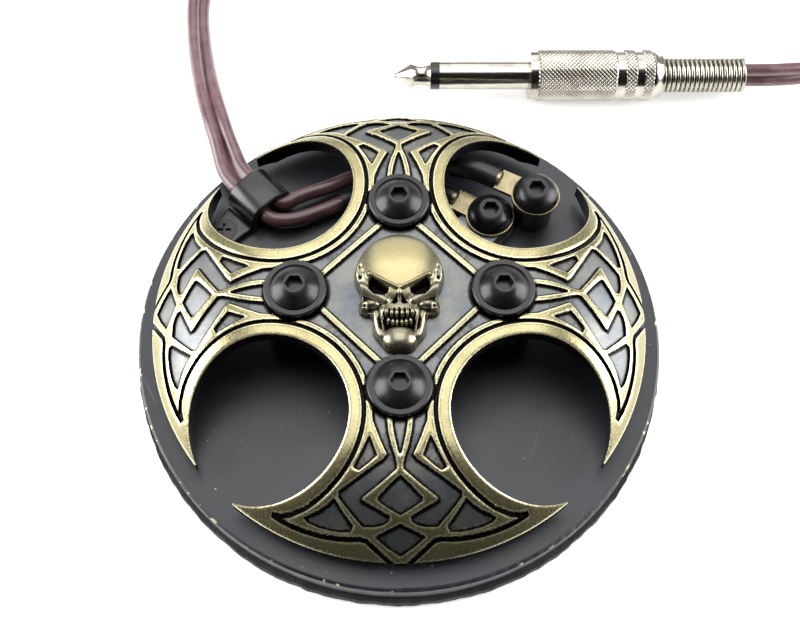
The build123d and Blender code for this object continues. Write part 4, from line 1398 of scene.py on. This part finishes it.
# ---------------------------------------------------------------- plug
@dataclass
class PlugShell:
    """Turned shell of the plug with diamond-knurled bands between plain grooves."""

    wall: float = 1.2
    pitch: float = 0.95
    knurl: float = 0.34
    per_diamond: int = 6
    end_r: float = 5.0
    neck_r: float = 4.2

    def build(self) -> bpy.types.Object:
        """Wrap a fine grid into the shell, raise the knurling and dress the plug."""
        low, high = (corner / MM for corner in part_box("plug_barrel"))
        axis_y, axis_z = (low.y + high.y) / 2, (low.z + high.z) / 2
        radius = (high.y - low.y) / 2
        length = high.x - low.x
        count = round(2 * math.pi * radius / self.pitch)
        around = count * self.per_diamond
        step = self.pitch / self.per_diamond
        stations = list(np.arange(0, length, step)) + [length]
        bands = [(0.35, 18.5), (20.4, 23.0), (24.7, 27.0)]
        points: list[list[float]] = []
        for s in stations:
            in_band = max(
                ease(np.array(s), a, a + 0.25) * (1 - ease(np.array(s), b - 0.25, b)) for a, b in bands
            )
            taper = float(ease(np.array(s), length - 2.2, length)) * (radius - self.end_r)
            for c in range(around):
                u = c / self.per_diamond
                v = s / self.pitch
                ridge = 1 - max(abs(((u + v) % 1) - 0.5), abs(((u - v) % 1) - 0.5)) * 2
                r = radius - taper + self.knurl * (1.3 * float(in_band) * ridge - 0.65)
                r = min(r, radius - taper * 0.9)
                a = 2 * math.pi * c / around
                points.append([low.x + s, axis_y + r * math.cos(a), axis_z + r * math.sin(a)])
        rows = len(stations)
        bore = radius - self.wall
        inner = [(0.0, bore), (length - 3.5, bore), (length - 1.5, self.neck_r), (length, self.neck_r)]
        for s, r in inner:
            for c in range(around):
                a = 2 * math.pi * c / around
                points.append([low.x + s, axis_y + r * math.cos(a), axis_z + r * math.sin(a)])
        faces = [f for k in range(rows - 1) for f in ring_faces(k * around, (k + 1) * around, around)]
        chain = [0, *(rows + k for k in range(len(inner))), rows - 1]
        for a, b in zip(chain, chain[1:]):
            faces += ring_faces(a * around, b * around, around)
        shell = mesh_piece("plug_barrel_knurled", points, faces, 32)
        face_outward(shell)
        nickel = BrightMetal("nickel_plate_turned", "#b4b0a6", "#7f7b71", 0.16, (0.05, 1.0, 1.0))
        bright = nickel.build()
        dress(shell, bright)
        join_up(shell, Body.BASE, Slot.NICKEL, "plug_barrel")
        dress_nodes(["plug_tip", "plug_sleeve", "plug_tip_lug"], bright)
        wire = BrightMetal("spring_wire_nickel", "#a5a196", "#716d64", 0.2)
        dress_nodes(["plug_strain_relief"], wire.build())
        dress_nodes(["plug_insulator"], SatinBlack("plug_band_moulded", "#0d0d0e", "#171718", 0.25).build())
        LOG.info("plug shell with %d faces", len(faces))
        return shell


# ---------------------------------------------------------------- mat and base
@dataclass
class Underside:
    """Painted steel base on a hand-cut rubber mat."""

    mat_r: float = field(default_factory=lambda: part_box("rubber_mat")[1].x / MM)
    mat_t: float = field(default_factory=lambda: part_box("rubber_mat")[1].z / MM)
    ragged: float = 0.22

    def build(self) -> bpy.types.Object:
        """Cut the mat from a disc with an uneven edge and dress both."""
        bpy.ops.object.select_all(action="DESELECT")
        bpy.ops.mesh.primitive_cylinder_add(
            vertices=420, radius=(self.mat_r - 0.3) * MM, depth=self.mat_t * MM,
            location=(0, 0, self.mat_t * MM / 2),
        )
        mat = bpy.context.object
        mat.name = "rubber_mat_cut"
        bpy.ops.object.transform_apply(location=True)
        bpy.ops.object.mode_set(mode="EDIT")
        for height in (1.0, 2.0):
            bpy.ops.mesh.select_all(action="SELECT")
            bpy.ops.mesh.bisect(plane_co=(0, 0, height * MM), plane_no=(0, 0, 1))
        bpy.ops.object.mode_set(mode="OBJECT")
        shuffle = random.Random(11)
        phases = [shuffle.uniform(0, 6.28) for _ in range(6)]
        for v in mat.data.vertices:
            a = math.atan2(v.co.y, v.co.x)
            r = math.hypot(v.co.x, v.co.y)
            if r < 0.01:
                continue
            wave = sum(math.sin(a * k + p) for k, p in zip((7, 13, 23, 41, 67, 97), phases)) / 4
            push = (0.75 * wave + 0.25 * shuffle.uniform(-1, 1)) * self.ragged * MM
            push += 0.12 * MM * math.cos(math.pi * (v.co.z / (self.mat_t * MM) - 0.5) * 2)
            grow = min(r + push, self.mat_r * MM)
            v.co.x *= grow / r
            v.co.y *= grow / r
        pick(mat)
        bpy.ops.object.shade_smooth_by_angle(angle=math.radians(35))
        dress(mat, CutRubber("sheet_rubber_cut").build())
        join_up(mat, Body.BASE, Slot.MAT, "rubber_mat")
        paint = ScuffedPaint("satin_paint_on_steel", top=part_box("base_plate")[1].z / MM)
        dress_nodes(["base_plate"], paint.build())
        LOG.info("base and mat dressed")
        return mat


# ---------------------------------------------------------------- springs
@dataclass
class PlateSprings:
    """Round-wire springs with closed ends under the plate."""

    sides: tuple[str, ...] = ("right", "back", "left", "front")
    wire: float = 1.0
    turns: float = 4.5
    closed: float = 0.8
    travel: float = 1.05
    room: float = 0.28
    steps: int = 28
    around: int = 12

    def build(self) -> None:
        """Wind a spring under each screw and dress it, in place of the imported spring."""
        steel = BrightMetal("spring_steel_drawn", "#b6b6b8", "#7d7c7a", 0.25).build()
        for side in self.sides:
            low, high = (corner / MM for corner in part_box(f"spring_{side}"))
            spring = self.wind(side, low, high)
            dress(spring, steel)
            join_up(spring, Body.BASE, Slot.SPRING, f"spring_{side}")
            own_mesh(spring)
        LOG.info("springs wound")

    def wind(self, side: str, low: Vector, high: Vector) -> bpy.types.Object:
        """Sweep round wire along one spring's turns.

        Args:
            side: which screw the spring stands round.
            low: the spring's lowest corner in millimetres.
            high: its highest corner.
        Returns:
            The spring.
        """
        middle = (low + high) / 2
        half = self.wire / 2
        radius = (high.x - low.x) / 2 - half
        bottom, top = low.z + half, high.z - half - self.room
        rise = self.closed * self.wire * 1.02
        stops = [0.0, self.closed, self.turns - self.closed, self.turns]
        levels = [bottom, bottom + rise, top - rise, top]
        points: list[list[float]] = []
        count = round(self.turns * self.steps)
        for k in range(count + 1):
            turn = k / self.steps
            a = 2 * math.pi * turn
            z = float(np.interp(turn, stops, levels))
            for c in range(self.around):
                b = 2 * math.pi * c / self.around
                r = radius + half * math.cos(b)
                points.append([
                    middle.x + r * math.cos(a), middle.y + r * math.sin(a), z + half * math.sin(b)
                ])
        n = self.around
        faces: list[tuple[int, ...]] = [
            (r * n + c, (r + 1) * n + c, (r + 1) * n + (c + 1) % n, r * n + (c + 1) % n)
            for r in range(count) for c in range(n)
        ]
        faces += [tuple(range(n)), tuple(range(count * n, (count + 1) * n))[::-1]]
        spring = mesh_piece(f"spring_wire_{side}", points, faces, 60)
        face_outward(spring)
        return spring


# ---------------------------------------------------------------- cable clip
@dataclass
class CableClip:
    """Moulded nylon strap bent over the lead, running out into a flat foot."""

    at: Point = (-29.6, 29.2)
    angle: float = 134.0
    half_wide: float = 4.25
    half_thick: float = 0.75
    corner: float = 0.5
    leg_at: float = 4.65
    top_z: float = 5.75
    bend: float = 3.3
    foot_bend: float = 1.6
    foot_end: float = 13.35
    limit_r: float = 45.9
    screw_at: float = 10.0
    screw_hole: float = 2.8
    floor_z: float = field(default_factory=lambda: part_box("cable_clip")[0].z / MM)

    def line(self) -> list[Point]:
        """The strap's middle line, across the lead and up, from the free leg to the foot's end."""
        mid, low = self.top_z - self.bend, self.half_thick + self.foot_bend
        side = self.leg_at - self.bend
        foot = self.leg_at + self.foot_bend
        return [
            (-self.leg_at, 0.0), *arc((-side, mid), self.bend, 180, 90), *arc((side, mid), self.bend, 90, 0),
            *arc((foot, low), self.foot_bend, 180, 270), (8.0, self.half_thick), (10.0, self.half_thick),
            (12.0, self.half_thick), (12.9, self.half_thick), (self.foot_end, self.half_thick),
        ]

    def reach(self, across: float, way: int) -> float:
        """How wide the strap is on one side of its line, so that the foot stays clear of the rim."""
        turn = math.radians(self.angle)
        wide = self.half_wide - 0.45 * float(ease(np.array(across), self.leg_at, self.leg_at + 3))
        wide -= 1.1 * float(ease(np.array(across), self.foot_end - 1.2, self.foot_end + 0.3))
        x = self.at[0] - across * math.sin(turn)
        y = self.at[1] + across * math.cos(turn)
        while math.hypot(x + way * wide * math.cos(turn), y + way * wide * math.sin(turn)) > self.limit_r:
            wide -= 0.05
        return wide

    def build(self) -> bpy.types.Object:
        """Sweep a rounded flat section along the line, bore the foot and dress the strap."""
        line = np.array(self.line())
        ahead = np.gradient(line, axis=0)
        ahead /= np.linalg.norm(ahead, axis=1)[:, None]
        turn = math.radians(self.angle)
        along = Vector((math.cos(turn), math.sin(turn), 0))
        across = Vector((-math.sin(turn), math.cos(turn), 0))
        up = Vector((0, 0, 1))
        start = Vector((self.at[0], self.at[1], self.floor_z))
        points: list[list[float]] = []
        for (v, z), (dv, dz) in zip(line, ahead):
            out = up * dv - across * dz
            middle = start + across * float(v) + up * float(z)
            for quarter in range(4):
                way = 1 if quarter in (0, 3) else -1
                rise = 1 if quarter in (0, 1) else -1
                wide = self.reach(float(v), way) - self.corner
                for step in range(5):
                    a = math.radians(90 * quarter + 22.5 * step)
                    points.append(list(
                        middle + along * (way * wide + self.corner * math.cos(a))
                        + out * (rise * (self.half_thick - self.corner) + self.corner * math.sin(a))
                    ))
        clip = mesh_piece("cable_clip_moulded", points, tube_faces(len(line), len(points) // len(line)), 40)
        face_outward(clip)
        spot = start + across * self.screw_at
        bpy.ops.object.select_all(action="DESELECT")
        bpy.ops.mesh.primitive_cylinder_add(
            vertices=48, radius=self.screw_hole * MM, depth=6 * MM, location=[c * MM for c in spot]
        )
        drill = bpy.context.object
        pick(clip)
        cut = clip.modifiers.new("foot_hole", "BOOLEAN")
        cut.operation = "DIFFERENCE"
        cut.solver = "EXACT"
        cut.object = drill
        bpy.ops.object.modifier_apply(modifier="foot_hole")
        bpy.data.objects.remove(drill)
        bpy.ops.object.shade_smooth_by_angle(angle=math.radians(40))
        dress(clip, SatinBlack("clip_nylon", "#0f0e0b", "#1d1c18", 0.27, 0.0, 0.8, 0.02).build())
        join_up(clip, Body.BASE, Slot.NYLON, "cable_clip")
        LOG.info("clip with %d faces", len(clip.data.polygons))
        return clip


# ---------------------------------------------------------------- small hardware
@dataclass
class Hardware:
    """Screws, bushings, contact, terminals and wires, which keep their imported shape."""

    sides: tuple[str, ...] = ("right", "back", "left", "front")

    def build(self) -> None:
        """Dress every carried-over node."""
        oxide = SatinBlack("black_oxide_on_steel", "#111113", "#1f1f22", 0.27, 0.3, 0.45, 0.012).build()
        dress_nodes([f"main_screw_{s}" for s in self.sides], oxide)
        dress_nodes(["terminal_screw_a", "terminal_screw_b", "clip_screw"], oxide)
        nylon = SatinBlack("moulded_black_nylon", "#131313", "#1f1f1f", 0.42, 0.0, 0.6, 0.02).build()
        dress_nodes([f"insulating_bushing_{s}" for s in self.sides], nylon)
        zinc = BrightMetal("zinc_plate_dull", "#6f7276", "#4d4f52", 0.42, grain=0.8)
        dress_nodes(["contact_plate"], zinc.build())
        dress_nodes(["terminal_pillar"], BrightMetal("steel_pillar", "#8f8d88", "#5d5b56", 0.3).build())
        fibre = SatinBlack("fibre_sheet_dark", "#1e1a16", "#2c2620", 0.6, 0.0, 0.7, 0.03)
        dress_nodes(["contact_insulator"], fibre.build())
        lug = BrightMetal("stamped_brass_lug", "#92876a", "#635b44", 0.3, (1.0, 0.2, 1.0), 0.5).build()
        dress_nodes(["ring_lug_a", "ring_lug_b"], lug)
        dress_nodes(["wire_a", "wire_b"], LeadSkin("soft_pvc_wire", "#452a2d", "#5f4446").build())
        sleeve = SatinBlack("shrink_sleeve_polyolefin", "#101011", "#1c1c1d", 0.3, 0.0, 1.2, 0.05)
        dress_nodes(["shrink_sleeve_a", "shrink_sleeve_b"], sleeve.build())
        LOG.info("hardware dressed")


def main() -> None:
    """Build the studio and every piece in order."""
    logging.basicConfig(level=logging.INFO, format="%(name)s: %(message)s")
    Studio().build()
    PlugShell().build()
    Lead().build()
    Underside().build()
    PedalPlate().build()
    SkullBoss().build()
    PlateSprings().build()
    CableClip().build()
    Hardware().build()


if __name__ == "__main__":
    main()
